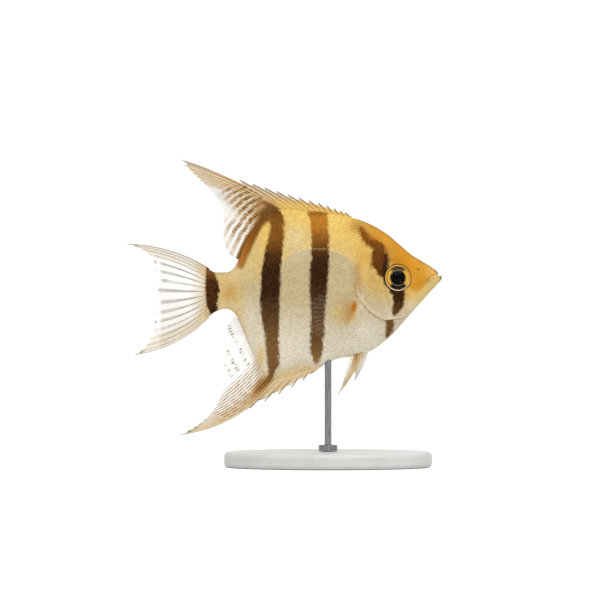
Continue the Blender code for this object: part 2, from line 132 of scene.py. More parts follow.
body = {
    "back": [
        (-38.6, 53.6), (-35.5, 52.0), (-32.2, 52.0), (-30.2, 53.0), (-28.7, 55.6), (-26.7, 60.6),
        (-24.1, 64.9), (-21.0, 68.6), (-17.8, 71.1), (-14.3, 72.1), (-6.0, 71.7), (3.0, 70.4),
        (9.5, 68.9), (15.2, 66.4), (19.0, 64.0), (23.0, 60.6), (26.7, 57.5), (30.5, 55.2), (32.8, 53.8),
        (33.9, 52.95), (34.7, 52.2), (34.95, 51.4), (35.5, 51.1), (36.2, 50.35),
    ],
    "belly": [
        (-38.6, 37.0), (-35.5, 39.35), (-32.5, 40.15), (-30.6, 39.6), (-29.0, 37.8), (-27.6, 34.6),
        (-25.7, 29.8), (-23.5, 25.2), (-21.0, 20.6), (-19.2, 18.3), (-17.2, 17.9), (-9.0, 20.0),
        (-3.0, 21.8), (0.5, 23.3), (4.5, 24.6), (9.0, 25.1), (13.5, 26.7), (19.0, 30.6), (26.7, 39.0),
        (32.4, 45.4), (34.9, 48.1), (35.8, 49.1), (36.2, 49.9),
    ],
    "halfWidth": [
        (-38.6, 0.9), (-35.0, 1.5), (-30.0, 2.0), (-24.0, 2.9), (-16.0, 4.2), (-8.0, 5.4), (2.0, 6.3),
        (10.0, 6.5), (16.0, 6.0), (22.0, 4.8), (27.0, 3.6), (31.0, 2.7), (34.0, 1.9), (35.4, 1.3),
        (36.2, 0.5),
    ],
    "keenness": [
        (-38.6, 1.0), (-28.0, 1.1), (-15.0, 1.35), (5.0, 1.3), (16.0, 1.2), (27.0, 1.0), (36.2, 1.0),
    ],
    "widest": [(-38.6, 0.5), (-15.0, 0.56), (8.0, 0.5), (22.0, 0.55), (30.0, 0.5), (36.2, 0.5)],
    "coatDepth": 0.15,
    "rings": 356,
    "around": 220,
    "ringShares": [0.0, 0.42, 0.54, 0.84, 1.0],  # most rings go to the face
    "ringPlaces": [-38.6, 8.0, 20.0, 33.0, 36.2],
    "evenness": 0.6,
}
back, belly = smoothCurve(body["back"]), smoothCurve(body["belly"])
halfWidth, keenness, widest = (smoothCurve(body[part]) for part in ("halfWidth", "keenness", "widest"))


def bodyPoint(x, turn):
    top, bottom = back(x), belly(x)
    level = bottom + (top - bottom) * widest(x)
    rise = np.cos(turn)
    z = level + np.where(rise > 0, top - level, level - bottom) * rise
    y = np.sign(np.sin(turn)) * halfWidth(x) * np.abs(np.sin(turn)) ** keenness(x)
    return np.stack(np.broadcast_arrays(x, y, z), axis=-1)


def sideOfBody(x, z):
    top, bottom = back(x), belly(x)
    level = bottom + (top - bottom) * widest(x)
    rise = (z - level) / np.where(z > level, top - level, level - bottom)
    return halfWidth(x) * np.sqrt(np.clip(1 - rise * rise, 0, 1)) ** keenness(x)


def sideNormal(x, z, side):
    small = 0.3
    along = (sideOfBody(x + small, z) - sideOfBody(x - small, z)) / (2 * small)
    up = (sideOfBody(x, z + small) - sideOfBody(x, z - small)) / (2 * small)
    normal = np.array([-along, side, -up], float)
    return normal / np.linalg.norm(normal)


face = {
    "eye": (21.95, 50.1),
    "eyeRadius": 4.1,
    "eyeHollow": 1.0,
    "gape": [(35.7, 51.1), (34.9, 51.15), (33.5, 51.05), (32.0, 49.9), (30.9, 48.7), (30.5, 48.0)],
    "jawFold": [
        (33.2, 52.6), (32.4, 51.6), (31.7, 49.6), (30.4, 47.9), (29.7, 46.7), (28.0, 45.4), (27.0, 45.1),
    ],
    "nostril": (28.6, 52.9),
    "cheekGroove": [(18.4, 48.7), (18.1, 45.8), (18.9, 43.4), (19.4, 41.4), (19.4, 39.5)],
    "gillEdge": [
        (9.3, 51.5), (8.9, 48.5), (9.05, 45.8), (9.65, 43.9), (11.1, 41.9), (13.5, 39.2), (16.4, 37.3),
        (18.4, 36.8), (20.8, 37.0), (23.2, 37.4), (25.7, 38.0),
    ],
    "sideLine": [
        (-20.5, 52.0), (-14.0, 55.2), (-11.8, 57.2), (-9.0, 58.7), (-6.0, 59.3), (-0.9, 59.2),
        (2.1, 58.45), (5.2, 57.05), (7.2, 55.6), (8.6, 54.4),
    ],
    "breastFinRoot": [(8.3, 41.6), (7.6, 37.0)],
    # folds of the skin: height, width, and how far beside their line they lie
    "gillStep": (0.34, 2.6), "gillCrease": (-0.16, 0.45), "cheekFold": (-0.13, 0.35),
    "gapeDepth": (0.12, 0.58), "gapeWidth": 0.17, "lips": [(0.26, 0.34, 0.52), (0.24, 0.38, -0.55)],
    "jawRipples": [(-0.14, 0.2, 0.0), (0.1, 0.4, 0.5)],
    "nostrilRim": (0.07, 0.16, 0.42), "nostrilPit": (-0.35, 0.26), "sideLineFold": (0.05, 0.28),
    "eyeRim": 0.3, "eyeLid": (0.13, 0.3, 0.2), "brow": (0.16, 1.2, 0.9),
    "hollows": [(26.5, 48.0, 2.0, 2.2, 0.1), (17.0, 50.0, 1.6, 2.6, 0.06)],
}


def fold(gap, height, width, beside=0.0):
    return height * bump(gap - beside, width)


def nostrilGap(x, z, stretch):
    return np.hypot((x - face["nostril"][0]) / stretch, z - face["nostril"][1])


def relief(x, z):
    # how far the skin stands out of the smooth body, or is pressed into it
    height = np.zeros(np.shape(x))
    gap, share, side = nearest(face["gillEdge"], x, z)
    (step, stepWidth), (crease, creaseWidth) = face["gillStep"], face["gillCrease"]
    edge = np.where(side > 0, step * np.exp(-gap / stepWidth), crease * np.exp(-gap / creaseWidth))
    height += edge * ends(share, 0.1)
    gap, share, side = nearest(face["cheekGroove"], x, z)
    height += fold(gap, *face["cheekFold"]) * ends(share, 0.25)
    gap, share, side = nearest(face["gape"], x, z)
    depth = between(face["gapeDepth"], ramp(0.5 - share, 0, 0.45))
    height -= depth * bump(gap, face["gapeWidth"]) * ramp(1 - share, 0, 0.1)
    height += sum(fold(gap * side, *lip) for lip in face["lips"]) * ramp(1 - share, 0.02, 0.4)
    gap, share, side = nearest(face["jawFold"], x, z)
    height += sum(fold(gap * side, *ripple) for ripple in face["jawRipples"]) * ends(share, 0.15)
    gap = nostrilGap(x, z, 1.3)
    height += fold(gap, *face["nostrilRim"]) + fold(gap, *face["nostrilPit"])
    gap, share, side = nearest(face["sideLine"], x, z)
    height += fold(gap, *face["sideLineFold"]) * ends(share)
    eyeX, eyeZ = face["eye"]
    fromRim = np.hypot(x - eyeX, z - eyeZ) - (face["eyeRadius"] + face["eyeRim"])
    height -= face["eyeHollow"] * ramp(-fromRim, 0.0, 0.5)
    height += fold(fromRim, *face["eyeLid"])
    height += fold(fromRim, *face["brow"]) * ramp(z, eyeZ - 1, eyeZ + 3)
    return height - airbrush(x, z, face["hollows"])


# markings, the same on skin and scales
marks = {
    "midBar": {
        "rear": [
            (22.5, -3.9), (24.3, -4.9), (28, -5.6), (40, -5.5), (50, -5.9), (58, -5.3), (65, -5.3),
            (71, -6.4),
        ],
        "front": [
            (22.5, -3.0), (24.3, -2.4), (28, -1.7), (36, -1.1), (43, -0.6), (52, 0.1), (58, 0.2),
            (71, -0.1),
        ],
        "level": (22.6, 71.3),
    },
    "rearBar": {
        "rear": [
            (17, -20.0), (20, -19.0), (24, -19.3), (30, -19.8), (36, -20.7), (43, -21.5), (50, -21.2),
            (57, -20.4), (63, -18.9), (68, -18.4), (71, -20.6),
        ],
        "front": [
            (17, -18.0), (19, -17.3), (21, -16.3), (23, -15.5), (30, -15.6), (43, -15.3), (54, -14.9),
            (62, -14.2), (67.0, -13.9), (69.8, -14.4), (72, -15.7),
        ],
        "level": (12, 78),
    },
    "tailBar": {
        "rear": [
            (36, -36.6), (38.4, -37.3), (39.7, -37.8), (41.0, -38.3), (43, -38.9), (46, -39.6),
            (56, -44.0),
        ],
        "front": [
            (37, -35.4), (39.9, -35.1), (41.5, -35.2), (44.6, -35.0), (46.2, -34.3), (47.6, -35.0),
            (50, -35.4), (53, -36.6),
        ],
        "level": (36, 56),
    },
    "midDarkness": [
        (22, 0.05), (24, 0.25), (27.2, 0.5), (32, 0.72), (36.8, 0.78), (41.5, 0.87), (46.3, 0.95),
        (51, 1.0), (54.2, 1.0), (57.4, 0.92), (60.6, 0.7), (63.7, 0.42), (66.9, 0.06), (69.3, 0.06),
        (70.1, 0.22), (70.7, 0.46), (71.4, 0.4),
    ],
    "rearDarkness": [
        (12, 0.4), (18, 0.5), (22.5, 0.52), (27.2, 0.5), (32, 0.62), (36.8, 0.78), (41.5, 0.9),
        (46.3, 1.0), (51, 1.0), (54.2, 0.96), (57.4, 0.9), (60.6, 0.72), (63.7, 0.6), (66.9, 0.6),
        (69.0, 0.64), (72, 0.86),
    ],
    # head bars as lines of growing and shrinking brush width: x, z, half-width
    "napeBar": [
        (10.8, 65.6, 0.7), (11.2, 64.0, 1.0), (12.0, 62.4, 1.2), (13.6, 61.3, 1.3), (15.5, 60.2, 1.8),
        (16.2, 58.7, 2.3), (16.3, 56.4, 2.8), (16.3, 54.9, 2.8), (16.8, 53.2, 2.1), (17.0, 51.9, 1.5),
        (17.9, 50.0, 0.6),
    ],
    "napeCore": [
        (18.2, 57.2, 0.4), (18.5, 55.4, 0.85), (18.2, 53.0, 1.05), (17.9, 50.8, 0.9), (18.1, 48.4, 0.3),
    ],
    "cheekBar": [
        (21.8, 46.6, 2.5), (22.4, 44.6, 1.85), (22.35, 42.4, 1.75), (21.7, 40.4, 1.5), (21.0, 38.9, 0.8),
    ],
    "throatBar": [(19.3, 37.2, 1.3), (19.6, 34.8, 1.3), (19.2, 32.6, 1.0), (18.7, 31.4, 0.5)],
    "sharpness": {"napeBar": 0.75, "cheekBar": 1.1, "throatBar": 1.0},
    "zones": (-30, -10.5, 8),  # x where the tail bar's and rear bar's zones end, and the head's begins
    "stripe": {"rear": (-29.6, -28.2), "front": (15.5, 18.5), "width": 2.95, "edge": (-1.1, 0.6)},
    # yellow above one line, orange above the other
    "goldLine": [
        (-40, 45.0), (-24.0, 48.5), (-16.0, 54.2), (-11.8, 57.2), (-9.0, 58.7), (-6.0, 59.3),
        (-0.9, 59.2), (2.1, 58.45), (5.2, 57.05), (8.6, 54.4), (12, 47), (20, 43), (28, 41.5), (37, 44),
    ],
    "orangeLine": [(9, 66.5), (13, 61.5), (18, 57.5), (24, 48.0), (28, 45.6), (32, 49.0), (36, 53)],
    # soft touches of each tint: x, z, radius along, radius up, strength
    "goldTouches": [(4.6, 38.8, 3.6, 3.0, 0.8), (-21.3, 25.4, 1.4, 3.4, 0.7)],
    "orangeTouches": [
        (-31.2, 45.5, 2.6, 3.4, 0.34), (24.6, 44.6, 2.0, 1.6, 0.45), (11.5, 58.0, 3.0, 6.0, 0.22),
        (9.6, 50.0, 1.6, 5.0, 0.26), (15.5, 47.4, 2.6, 3.4, 0.06), (8.4, 66.5, 2.5, 2.0, 0.4),
        (-17.5, 24.0, 1.6, 4.0, 0.24),
    ],
    "shadeTouches": [
        (9.4, 66.4, 2.2, 2.0, 0.55), (12.2, 65.0, 1.8, 2.2, 0.35), (14.5, 63.0, 2.2, 1.6, 0.35),
        (19.5, 58.5, 2.6, 3.2, 0.35), (21.5, 55.6, 2.6, 1.2, 0.35), (13.2, 55.6, 1.6, 2.6, 0.25),
        (9.4, 48.6, 0.9, 5.0, 0.34), (13.4, 49.6, 1.2, 2.6, 0.22), (8.6, 53.0, 1.0, 2.4, 0.2),
        (31.6, 49.4, 1.2, 1.0, 0.2), (-30.8, 45.5, 1.4, 2.6, 0.15), (8.9, 46.6, 1.0, 2.0, 0.2),
        (-21.3, 25.6, 1.1, 3.0, 0.2), (11.2, 58.0, 1.6, 2.4, 0.14), (14.2, 51.0, 1.2, 1.6, 0.16),
        (16.0, 48.2, 2.1, 3.6, 0.26),
    ],
    "paleTouches": [
        (27.0, 41.5, 4.0, 2.4, 0.5), (12.5, 33.0, 4.0, 4.0, 0.35), (20.0, 40.0, 2.0, 3.0, 0.25),
        (-33.0, 41.0, 4.0, 2.0, 0.5), (9.5, 40.5, 2.0, 2.5, 0.35), (-11.0, 63.5, 4.5, 5.5, 0.6),
        (-29.0, 53.0, 3.0, 3.0, 0.5), (-24.5, 40.0, 3.0, 5.0, 0.3), (10.5, 42.5, 1.2, 1.6, 0.4),
    ],
    "fleshTouches": [
        (8.4, 42.0, 0.9, 1.1, 0.7), (8.0, 40.4, 0.95, 1.4, 0.9), (7.5, 38.2, 0.8, 1.2, 0.4),
        (6.2, 39.8, 2.2, 3.0, 0.4),
    ],
    "lipTouches": [(34.5, 52.1, 0.6, 0.5, 1.0)],
}


def barInside(bar, x, z):
    rear, front = smoothCurve(bar["rear"]), smoothCurve(bar["front"])
    low, high = bar["level"]
    return np.minimum(np.minimum(front(z) - x, x - rear(z)), 0.6 * np.minimum(z - low, high - z))


def brushInside(line, x, z):
    line = np.array(line, float)
    gap, share = nearest(line[:, :2], x, z)[:2]
    length = np.concatenate([[0], np.cumsum(np.linalg.norm(np.diff(line[:, :2], axis=0), axis=1))])
    width = smoothCurve(list(zip(length / length[-1], line[:, 2])))
    return width(share) - gap


def barMasks(x, z):
    tailEnd, rearEnd, headStart = marks["zones"]
    midBar, rearBar, tailBar = (barInside(marks[name], x, z) for name in ("midBar", "rearBar", "tailBar"))
    headBars = [brushInside(marks[name], x, z) * sharp for name, sharp in marks["sharpness"].items()]
    side = nearest(face["gillEdge"], x, z)[2]
    headBars[2] = np.where(side > 0, -3, headBars[2])  # the throat bar stays below the gill cover
    core = brushInside(marks["napeCore"], x, z)
    inside = np.maximum.reduce([midBar, rearBar, tailBar, *headBars, core * 0.6])
    rearDark, midDark = (smoothCurve(marks[name])(z) for name in ("rearDarkness", "midDarkness"))
    dark = np.where(x < tailEnd, 0.95 - 0.35 * ramp(z, 48.5, 53), np.where(x < rearEnd, rearDark, midDark))
    napeDark = 0.68 - 0.28 * ramp(z, 57.5, 64) + 0.1 * ramp(56 - z, 0, 5) + 0.3 * ramp(core, -0.6, 0.4)
    cheekDark = np.where(z < 37.5, 0.62, 0.98 - 0.18 * ramp(44 - z, 0, 5))
    onHead = x > headStart
    warm = np.where(onHead, 0.35 + 0.65 * ramp(z, 47, 51), ramp(z, 50, 61))
    return midBar, {
        "barInside": np.clip(inside, -3, 3),
        "barDark": np.where(onHead, np.where(z > 48.6, napeDark, cheekDark), dark),
        "barWarm": np.maximum(warm, 0.8 * (x < tailEnd)),
        "barRed": np.clip(onHead * ramp(z, 47, 50), 0, 1),
    }


def stripeMasks(x, z):  # the strip along the foot of the soft dorsal fin
    stripe = marks["stripe"]
    slope = (back(x + 0.2) - back(x - 0.2)) / 0.4
    fromBack = (back(x) - z) / np.sqrt(1 + slope * slope)
    along = ramp(x, *stripe["rear"]) * ramp(-x, *stripe["front"])
    width = stripe["width"] * (0.8 + 0.2 * ramp(-x, 22.5, 25.0) - 0.3 * bump(x + 20.3, 1.8))
    fade = (1 - 0.1 * ramp(-x, 24, 29)) * ramp(z, 52.2, 53.8)
    inside = along * ramp(width - fromBack, *stripe["edge"]) * fade
    return {"finStripe": inside, "stripeDark": ramp(x, -28.5, -22.0)}


def tintMasks(x, z, midBar):
    top, bottom = back(x), belly(x)
    above = z - smoothCurve(marks["goldLine"])(x)
    blur = 0.5 + 1.9 * ramp(np.abs(x + 2.5), 5.5, 13.0) + 2.5 * ramp(x, 8, 14)
    gold = ramp(above, -blur, blur) * (0.72 + 0.28 * ramp(above, 1, 9))
    gold *= 1 - 0.55 * ramp(-x, 18, 24) * ramp(66 - z, 0, 8)
    gold = np.maximum(gold, 0.42 * ramp(-x, 24, 30))
    gold = np.maximum(gold, 0.5 * ramp(bottom + 3.8 - z, 0, 3.6) * ramp(-x, 2, 7) * ramp(x, -26, -18))
    gold *= 1 - 0.45 * ramp(x, 29, 33) * ramp(52 - z, 0, 3)
    gold = np.maximum(gold, airbrush(x, z, marks["goldTouches"]))
    gold *= 1 - 0.4 * bump(x + 11.0, 4.5) * bump(z - 62.5, 5.5)
    gold *= 1 - 0.3 * bump(x - 12.8, 1.8) * bump(z - 52.3, 1.8)
    orange = ramp(z - smoothCurve(marks["orangeLine"])(x), -1.6, 1.8) * ramp(x, 8.5, 15)
    orange = (orange + airbrush(x, z, marks["orangeTouches"])) * (1 - 0.5 * ramp(x, 29, 33.5))
    shade = airbrush(x, z, marks["shadeTouches"])
    # the middle bar's dark head, and painted shade along the top of the back over the dorsal fin's foot
    shade += 0.5 * bump(z - top + 0.7, 0.5) * ramp(midBar, -0.4, 0.6) * (x > -8)
    shade += 0.3 * ramp(0.5 - (top - z), 0, 0.5) * ramp(-x, -6, 0)
    pale = ramp(46 - z, 0, 18) * 0.85 + 0.15 * ramp(33 - z, 0, 8) + airbrush(x, z, marks["paleTouches"])
    pale = np.clip(pale, 0, 1) * (1 - 0.4 * ramp(bottom + 7 - z, 0, 5) * ramp(-x, 5, 10) * (x > -17))
    return {"gold": np.clip(gold, 0, 1), "orange": np.clip(orange, 0, 1), "shade": shade, "pale": pale}


def lineMasks(x, y, z, midBar):  # the pale side line, painted highlights on the gill cover's edge and between the lips, painted shade in creases and round the eye, and the back's smoky ridge
    gap, share, side = nearest(face["gillEdge"], x, z)
    held = ends(share, 0.16)
    onCover = side > 0
    bright = 0.15 + 0.85 * ramp(share, 0.1, 0.26) * (1 - 0.55 * ramp(share, 0.42, 0.6))
    # painted highlight along the raised edge of the gill cover
    rim = bump(gap - 0.3, 0.27) * onCover * held * bright
    # painted shade in the crease behind the gill cover, heavier on the body under the cover's edge
    shaded = ramp(share, 0.2, 0.38) * (1 - 0.75 * ramp(share, 0.62, 0.75))
    crease = bump(gap, 0.2) * held * np.where(onCover, 0.25, 0.85) * shaded
    gap, share, side = nearest(face["sideLine"], x, z)
    lineFade = ramp(share, 0.25, 0.5) * (1 - 0.5 * ramp(share, 0.85, 1.0))
    rim = np.maximum(rim, 0.5 * bump(gap, 0.19) * lineFade * (1 - 0.5 * ramp(midBar, -0.3, 0.3)))
    gap, share, side = nearest(face["gape"], x, z)
    # painted shade in the mouth's slit
    crease = np.maximum(crease, 0.14 * bump(gap, 0.2) * ramp(1 - share, 0, 0.5) * ramp(34.2 - x, 0, 0.7))
    rim = np.maximum(np.clip(rim, 0, 1), bump(gap, 0.26) * ramp(x, 33.6, 34.3))  # painted highlight between the lips
    # painted shade in the jaw's fold, the cheek's groove and the nostril's pit
    gap, share, side = nearest(face["jawFold"], x, z)
    crease = np.maximum(crease, 0.22 * bump(gap, 0.2) * ends(share, 0.2))
    gap, share, side = nearest(face["cheekGroove"], x, z)
    crease = np.maximum(crease, 0.28 * bump(gap, 0.3) * ends(share, 0.3))
    crease = np.maximum(crease, 0.8 * bump(nostrilGap(x, z, 1.2), 0.3))
    eyeX, eyeZ = face["eye"]
    fromEye = np.hypot(x - eyeX, z - eyeZ) - face["eyeRadius"]
    lower = ramp(0.6 * (eyeX - x) + eyeZ - z, -3.5, 3.0)
    under = back(x) - z
    onRidge = np.maximum(ramp(x, 8, 10), 0.8 * ramp(-x, 28, 29))
    ridge = ramp(0.35 - under, 0.0, 0.35) * 0.5 * bump(y, 1.6) + 0.32 * ramp(1.5 - under, 0.0, 1.3)
    lips = airbrush(x, z, marks["lipTouches"]) + ramp(x, 35.1, 35.9) * 0.75
    return {
        "rim": rim, "crease": np.clip(crease, 0, 1),
        # painted shade round the eye's hollow, heavier below and behind the eye
        "socket": bump(fromEye - 0.2, 0.3) * (0.3 + 0.7 * lower),
        "smoke": np.clip(ridge * onRidge + lips, 0, 1),
        "flesh": np.clip(airbrush(x, z, marks["fleshTouches"]), 0, 1),
    }


def skinMasks(x, y, z):
    midBar, masks = barMasks(x, z)
    return {**masks, **stripeMasks(x, z), **tintMasks(x, z, midBar), **lineMasks(x, y, z, midBar)}


def paint(code):
    parts = [int(code[i:i + 2], 16) / 255 for i in (1, 3, 5)]
    return (*[part / 12.92 if part <= 0.04045 else ((part + 0.055) / 1.055) ** 2.4 for part in parts], 1.0)


def newMaterial(name):
    material = bpy.data.materials.new(name)
    material.use_nodes = True
    return material, material.node_tree, material.node_tree.nodes["Principled BSDF"]


def plug(tree, node, inputs):
    for socket, value in inputs.items():
        if isinstance(value, bpy.types.NodeSocket):
            tree.links.new(value, node.inputs[socket])
        else:
            node.inputs[socket].default_value = value


def addNode(tree, kind, inputs=None, **settings):
    node = tree.nodes.new(kind)
    for key, value in settings.items():
        setattr(node, key, value)
    plug(tree, node, inputs or {})
    return node


def mask(tree, name):
    return addNode(tree, "ShaderNodeAttribute", attribute_name=name).outputs["Fac"]


def blendIn(tree, amount, under, over, way="MIX"):
    node = addNode(tree, "ShaderNodeMix", {0: amount, 6: under, 7: over}, data_type="RGBA", blend_type=way)
    return node.outputs[2]


def maths(tree, operation, first, second=0.0, clamp=False):
    inputs = {0: first, 1: second}
    return addNode(tree, "ShaderNodeMath", inputs, operation=operation, use_clamp=clamp).outputs[0]


def spread(tree, value, low, high, toLow=0.0, toHigh=1.0):
    inputs = {"Value": value, "From Min": low, "From Max": high, "To Min": toLow, "To Max": toHigh}
    return addNode(tree, "ShaderNodeMapRange", inputs, interpolation_type="SMOOTHSTEP").outputs[0]


def grain(tree, millimetres, detail=3.0, stretch=(1, 1, 1)):
    place = addNode(tree, "ShaderNodeTexCoord").outputs["Object"]
    place = addNode(tree, "ShaderNodeMapping", {"Vector": place, "Scale": stretch}).outputs[0]
    inputs = {"Vector": place, "Scale": 1000 / millimetres, "Detail": detail, "Roughness": 0.55}
    return addNode(tree, "ShaderNodeTexNoise", inputs).outputs["Fac"]


def swing(tree, value, amount):  # a grain turned into ups and downs round zero
    return maths(tree, "MULTIPLY", maths(tree, "SUBTRACT", value, 0.5), amount)


def lumps(tree, height, strength, metres):
    inputs = {"Strength": strength, "Distance": metres, "Height": height}
    return addNode(tree, "ShaderNodeBump", inputs).outputs[0]


def layers(tree, colour, finish, *names):  # a coat of paint for each mask, in its order
    for name in names:
        amount, strength = mask(tree, name), finish["strength"].get(name, 1.0)
        if strength < 1:
            amount = maths(tree, "MULTIPLY", amount, strength)
        colour = blendIn(tree, amount, colour, paint(finish[name]))
    return colour


# rim paints the pale side line and painted highlights on the gill cover's edge and between the lips; glint
# paints highlights; crease and socket paint shade
skinFinish = {
    "silver": "#c8b68d", "pale": "#e8e0cd", "gold": "#eac66c", "orange": "#d08c1c", "rim": "#f8e3ae",
    "barDeep": "#341a06", "barBrown": "#a87c49", "barWarm": "#bd7b25", "barRed": "#a96215",
    "stripe": "#a8661a", "stripeDark": "#7d4a17", "shade": "#a06a22", "crease": "#5d4220",
    "smoke": "#57493a", "flesh": "#b8741a", "socket": "#4a3216", "speck": "#b3935a", "glint": "#fff6dc",
    "scaleTone": "#6b5330", "scaleEdge": (1.12, 1.1, 1.06, 1.0),
    "strength": {"crease": 0.85, "smoke": 0.8, "socket": 0.5},
    "roughness": (0.38, 0.55), "gloss": 0.06, "lumps": (0.25, 0.0001),
}


def skinMaterial(name, onScales):
    material, tree, shader = newMaterial(name)
    fine = grain(tree, 0.75, 2.0)
    streaks = grain(tree, 0.9, 3.0, (2.2, 1.0, 0.8))
    broad = grain(tree, 6.0, 2.0)
    colour = layers(tree, paint(skinFinish["silver"]), skinFinish, "pale", "gold")
    warmth = maths(tree, "MULTIPLY", mask(tree, "orange"), spread(tree, broad, 0.2, 0.6, 0.8, 1.0))
    colour = blendIn(tree, warmth, colour, paint(skinFinish["orange"]))
    colour = layers(tree, colour, skinFinish, "shade")
    colour = blendIn(tree, spread(tree, fine, 0.56, 0.75, 0.0, 0.34), colour, paint(skinFinish["speck"]))
    silvery = maths(tree, "SUBTRACT", 1.0, mask(tree, "orange"))
    glint = maths(tree, "MULTIPLY", spread(tree, streaks, 0.28, 0.46, 0.12, 0.0), silvery)
    colour = blendIn(tree, glint, colour, paint(skinFinish["glint"]))
    stripe = layers(tree, paint(skinFinish["stripe"]), skinFinish, "stripeDark")
    colour = blendIn(tree, mask(tree, "finStripe"), colour, stripe)
    ragged = maths(tree, "ADD", swing(tree, streaks, 1.8), swing(tree, grain(tree, 2.4, 2.0), 0.9))
    inside = maths(tree, "ADD", mask(tree, "barInside"), ragged)
    depth = maths(tree, "ADD", mask(tree, "barDark"), swing(tree, streaks, 0.45), True)
    bar = layers(tree, paint(skinFinish["barBrown"]), skinFinish, "barWarm", "barRed")
    bar = blendIn(tree, depth, bar, paint(skinFinish["barDeep"]))
    colour = blendIn(tree, spread(tree, inside, -0.6, 0.5), colour, bar)
    # the flesh tint, the side line with painted highlights (rim), painted shade in creases (crease), the
    # smoky ridge and painted shade round the eye (socket)
    colour = layers(tree, colour, skinFinish, "flesh", "rim", "crease", "smoke", "socket")
    if onScales:
        tone = spread(tree, mask(tree, "scaleTone"), 0.0, 1.0, 0.0, 0.14)
        colour = blendIn(tree, tone, colour, paint(skinFinish["scaleTone"]), "MULTIPLY")
        colour = blendIn(tree, mask(tree, "scaleEdge"), colour, skinFinish["scaleEdge"], "MULTIPLY")
    plug(tree, shader, {
        "Base Color": colour, "Roughness": spread(tree, fine, 0.3, 0.7, *skinFinish["roughness"]),
        "Specular IOR Level": skinFinish["gloss"], "Normal": lumps(tree, fine, *skinFinish["lumps"]),
    })
    return material


def makePiece(name, points, faces, material, masks=None, cornerMap=None):
    mesh = bpy.data.meshes.new(name)
    mesh.from_pydata(toModel(points).tolist(), [], faces)
    mesh.update()
    mesh.materials.append(material)
    mesh.shade_smooth()
    for key, values in (masks or {}).items():
        layer = mesh.attributes.new(key, "FLOAT", "POINT")
        layer.data.foreach_set("value", np.ascontiguousarray(values, dtype=np.float32).ravel())
    if cornerMap is not None:
        flat = mesh.uv_layers.new(name="OFBake")
        flat.data.foreach_set("uv", np.ascontiguousarray(cornerMap, dtype=np.float32).ravel())
    piece = bpy.data.objects.new(name, mesh)
    bpy.context.scene.collection.objects.link(piece)
    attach(piece, "root")
    return piece


def closedSheet(rows, columns):
    # faces of a thin closed sheet: its upper grid, the lower grid after it, and the walls round them
    index, below = np.arange(rows * columns).reshape(rows, columns), rows * columns
    upper = np.stack([index[:-1, :-1], index[1:, :-1], index[1:, 1:], index[:-1, 1:]], axis=-1)
    upper = upper.reshape(-1, 4)
    rim = np.concatenate([index[:, 0], index[-1, 1:], index[-2::-1, -1], index[0, -2:0:-1]])
    following = np.roll(rim, -1)
    walls = np.stack([rim, rim + below, following + below, following], axis=-1)
    return np.concatenate([upper, upper[:, ::-1] + below, walls[:, ::-1]])


def tubeQuads(index):  # faces between rings of points, each closed on itself
    following = np.roll(index, -1, axis=1)
    return np.stack([index[:-1], following[:-1], following[1:], index[1:]], axis=-1).reshape(-1, 4)


def onMap(share):  # keeps a share a little inside the map's edge
    return share * 0.98 + 0.01


ringShare = np.linspace(0, 1, body["rings"])
ringX = np.interp(ringShare, body["ringShares"], body["ringPlaces"])
columnShare = np.arange(body["around"]) / body["around"]
half = (columnShare * 2) % 1.0
columnTurn = math.pi * np.where(columnShare < 0.5, 0, 1) + (
    (1 - body["evenness"]) * math.pi * half + body["evenness"] * np.arccos(1 - 2 * half)
)


def gridNormals(points, closed):
    along = np.gradient(points, axis=0)
    if closed:
        around = (np.roll(points, -1, axis=1) - np.roll(points, 1, axis=1)) / 2
    else:
        around = np.gradient(points, axis=1)
    normal = np.cross(around, along)
    return normal / np.maximum(np.linalg.norm(normal, axis=-1, keepdims=True), 1e-9)


smoothBody = bodyPoint(ringX[:, None], columnTurn[None, :])
outward = gridNormals(smoothBody, True)
midRing = body["rings"] // 2
midHeight = (back(ringX[midRing]) + belly(ringX[midRing])) / 2
if (outward[midRing, :, 2] * (smoothBody[midRing, :, 2] - midHeight)).sum() < 0:
    outward = -outward
skinRise = relief(smoothBody[..., 0], smoothBody[..., 2]) - body["coatDepth"]
skinGrid = smoothBody + outward * skinRise[..., None]


def makeSkin():
    rings, around = body["rings"], body["around"]
    index = np.arange(rings * around).reshape(rings, around)
    faces = tubeQuads(index).tolist()
    left = np.arange(around) / around
    right = (np.arange(around) + 1) / around
    low, high, left, right = np.broadcast_arrays(ringShare[:-1, None], ringShare[1:, None], left, right)
    corners = np.stack([low, left, low, right, high, right, high, left], axis=-1).reshape(-1, 2)
    capCorners = []
    for ring, centre, share in ((index[0], rings * around, 0.0), (index[-1], rings * around + 1, 1.0)):
        for i in range(around):
            pair = [int(ring[i]), int(ring[(i + 1) % around])]
            sides = [i / around, (i + 1) / around]
            if share == 0:
                pair, sides = pair[::-1], sides[::-1]
            faces.append((*pair, centre))
            capCorners += [(share, sides[0]), (share, sides[1]), (share, sum(sides) / 2)]
    corners = onMap(np.concatenate([corners, capCorners]))
    points, flat = (
        np.concatenate([grid.reshape(-1, 3), [skinGrid[0].mean(axis=0), skinGrid[-1].mean(axis=0)]])
        for grid in (skinGrid, smoothBody)
    )
    masks = skinMasks(flat[:, 0], flat[:, 1], flat[:, 2])
    skin = makePiece("skin", points, faces, skinMaterial("wetSkin", False), masks, corners)
    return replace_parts(skin, "head", "lower_jaw", "gill_cover_left", "gill_cover_right", "trunk", "tail")


skin = makeSkin()
print("skin made:", len(skin.data.polygons), "faces")


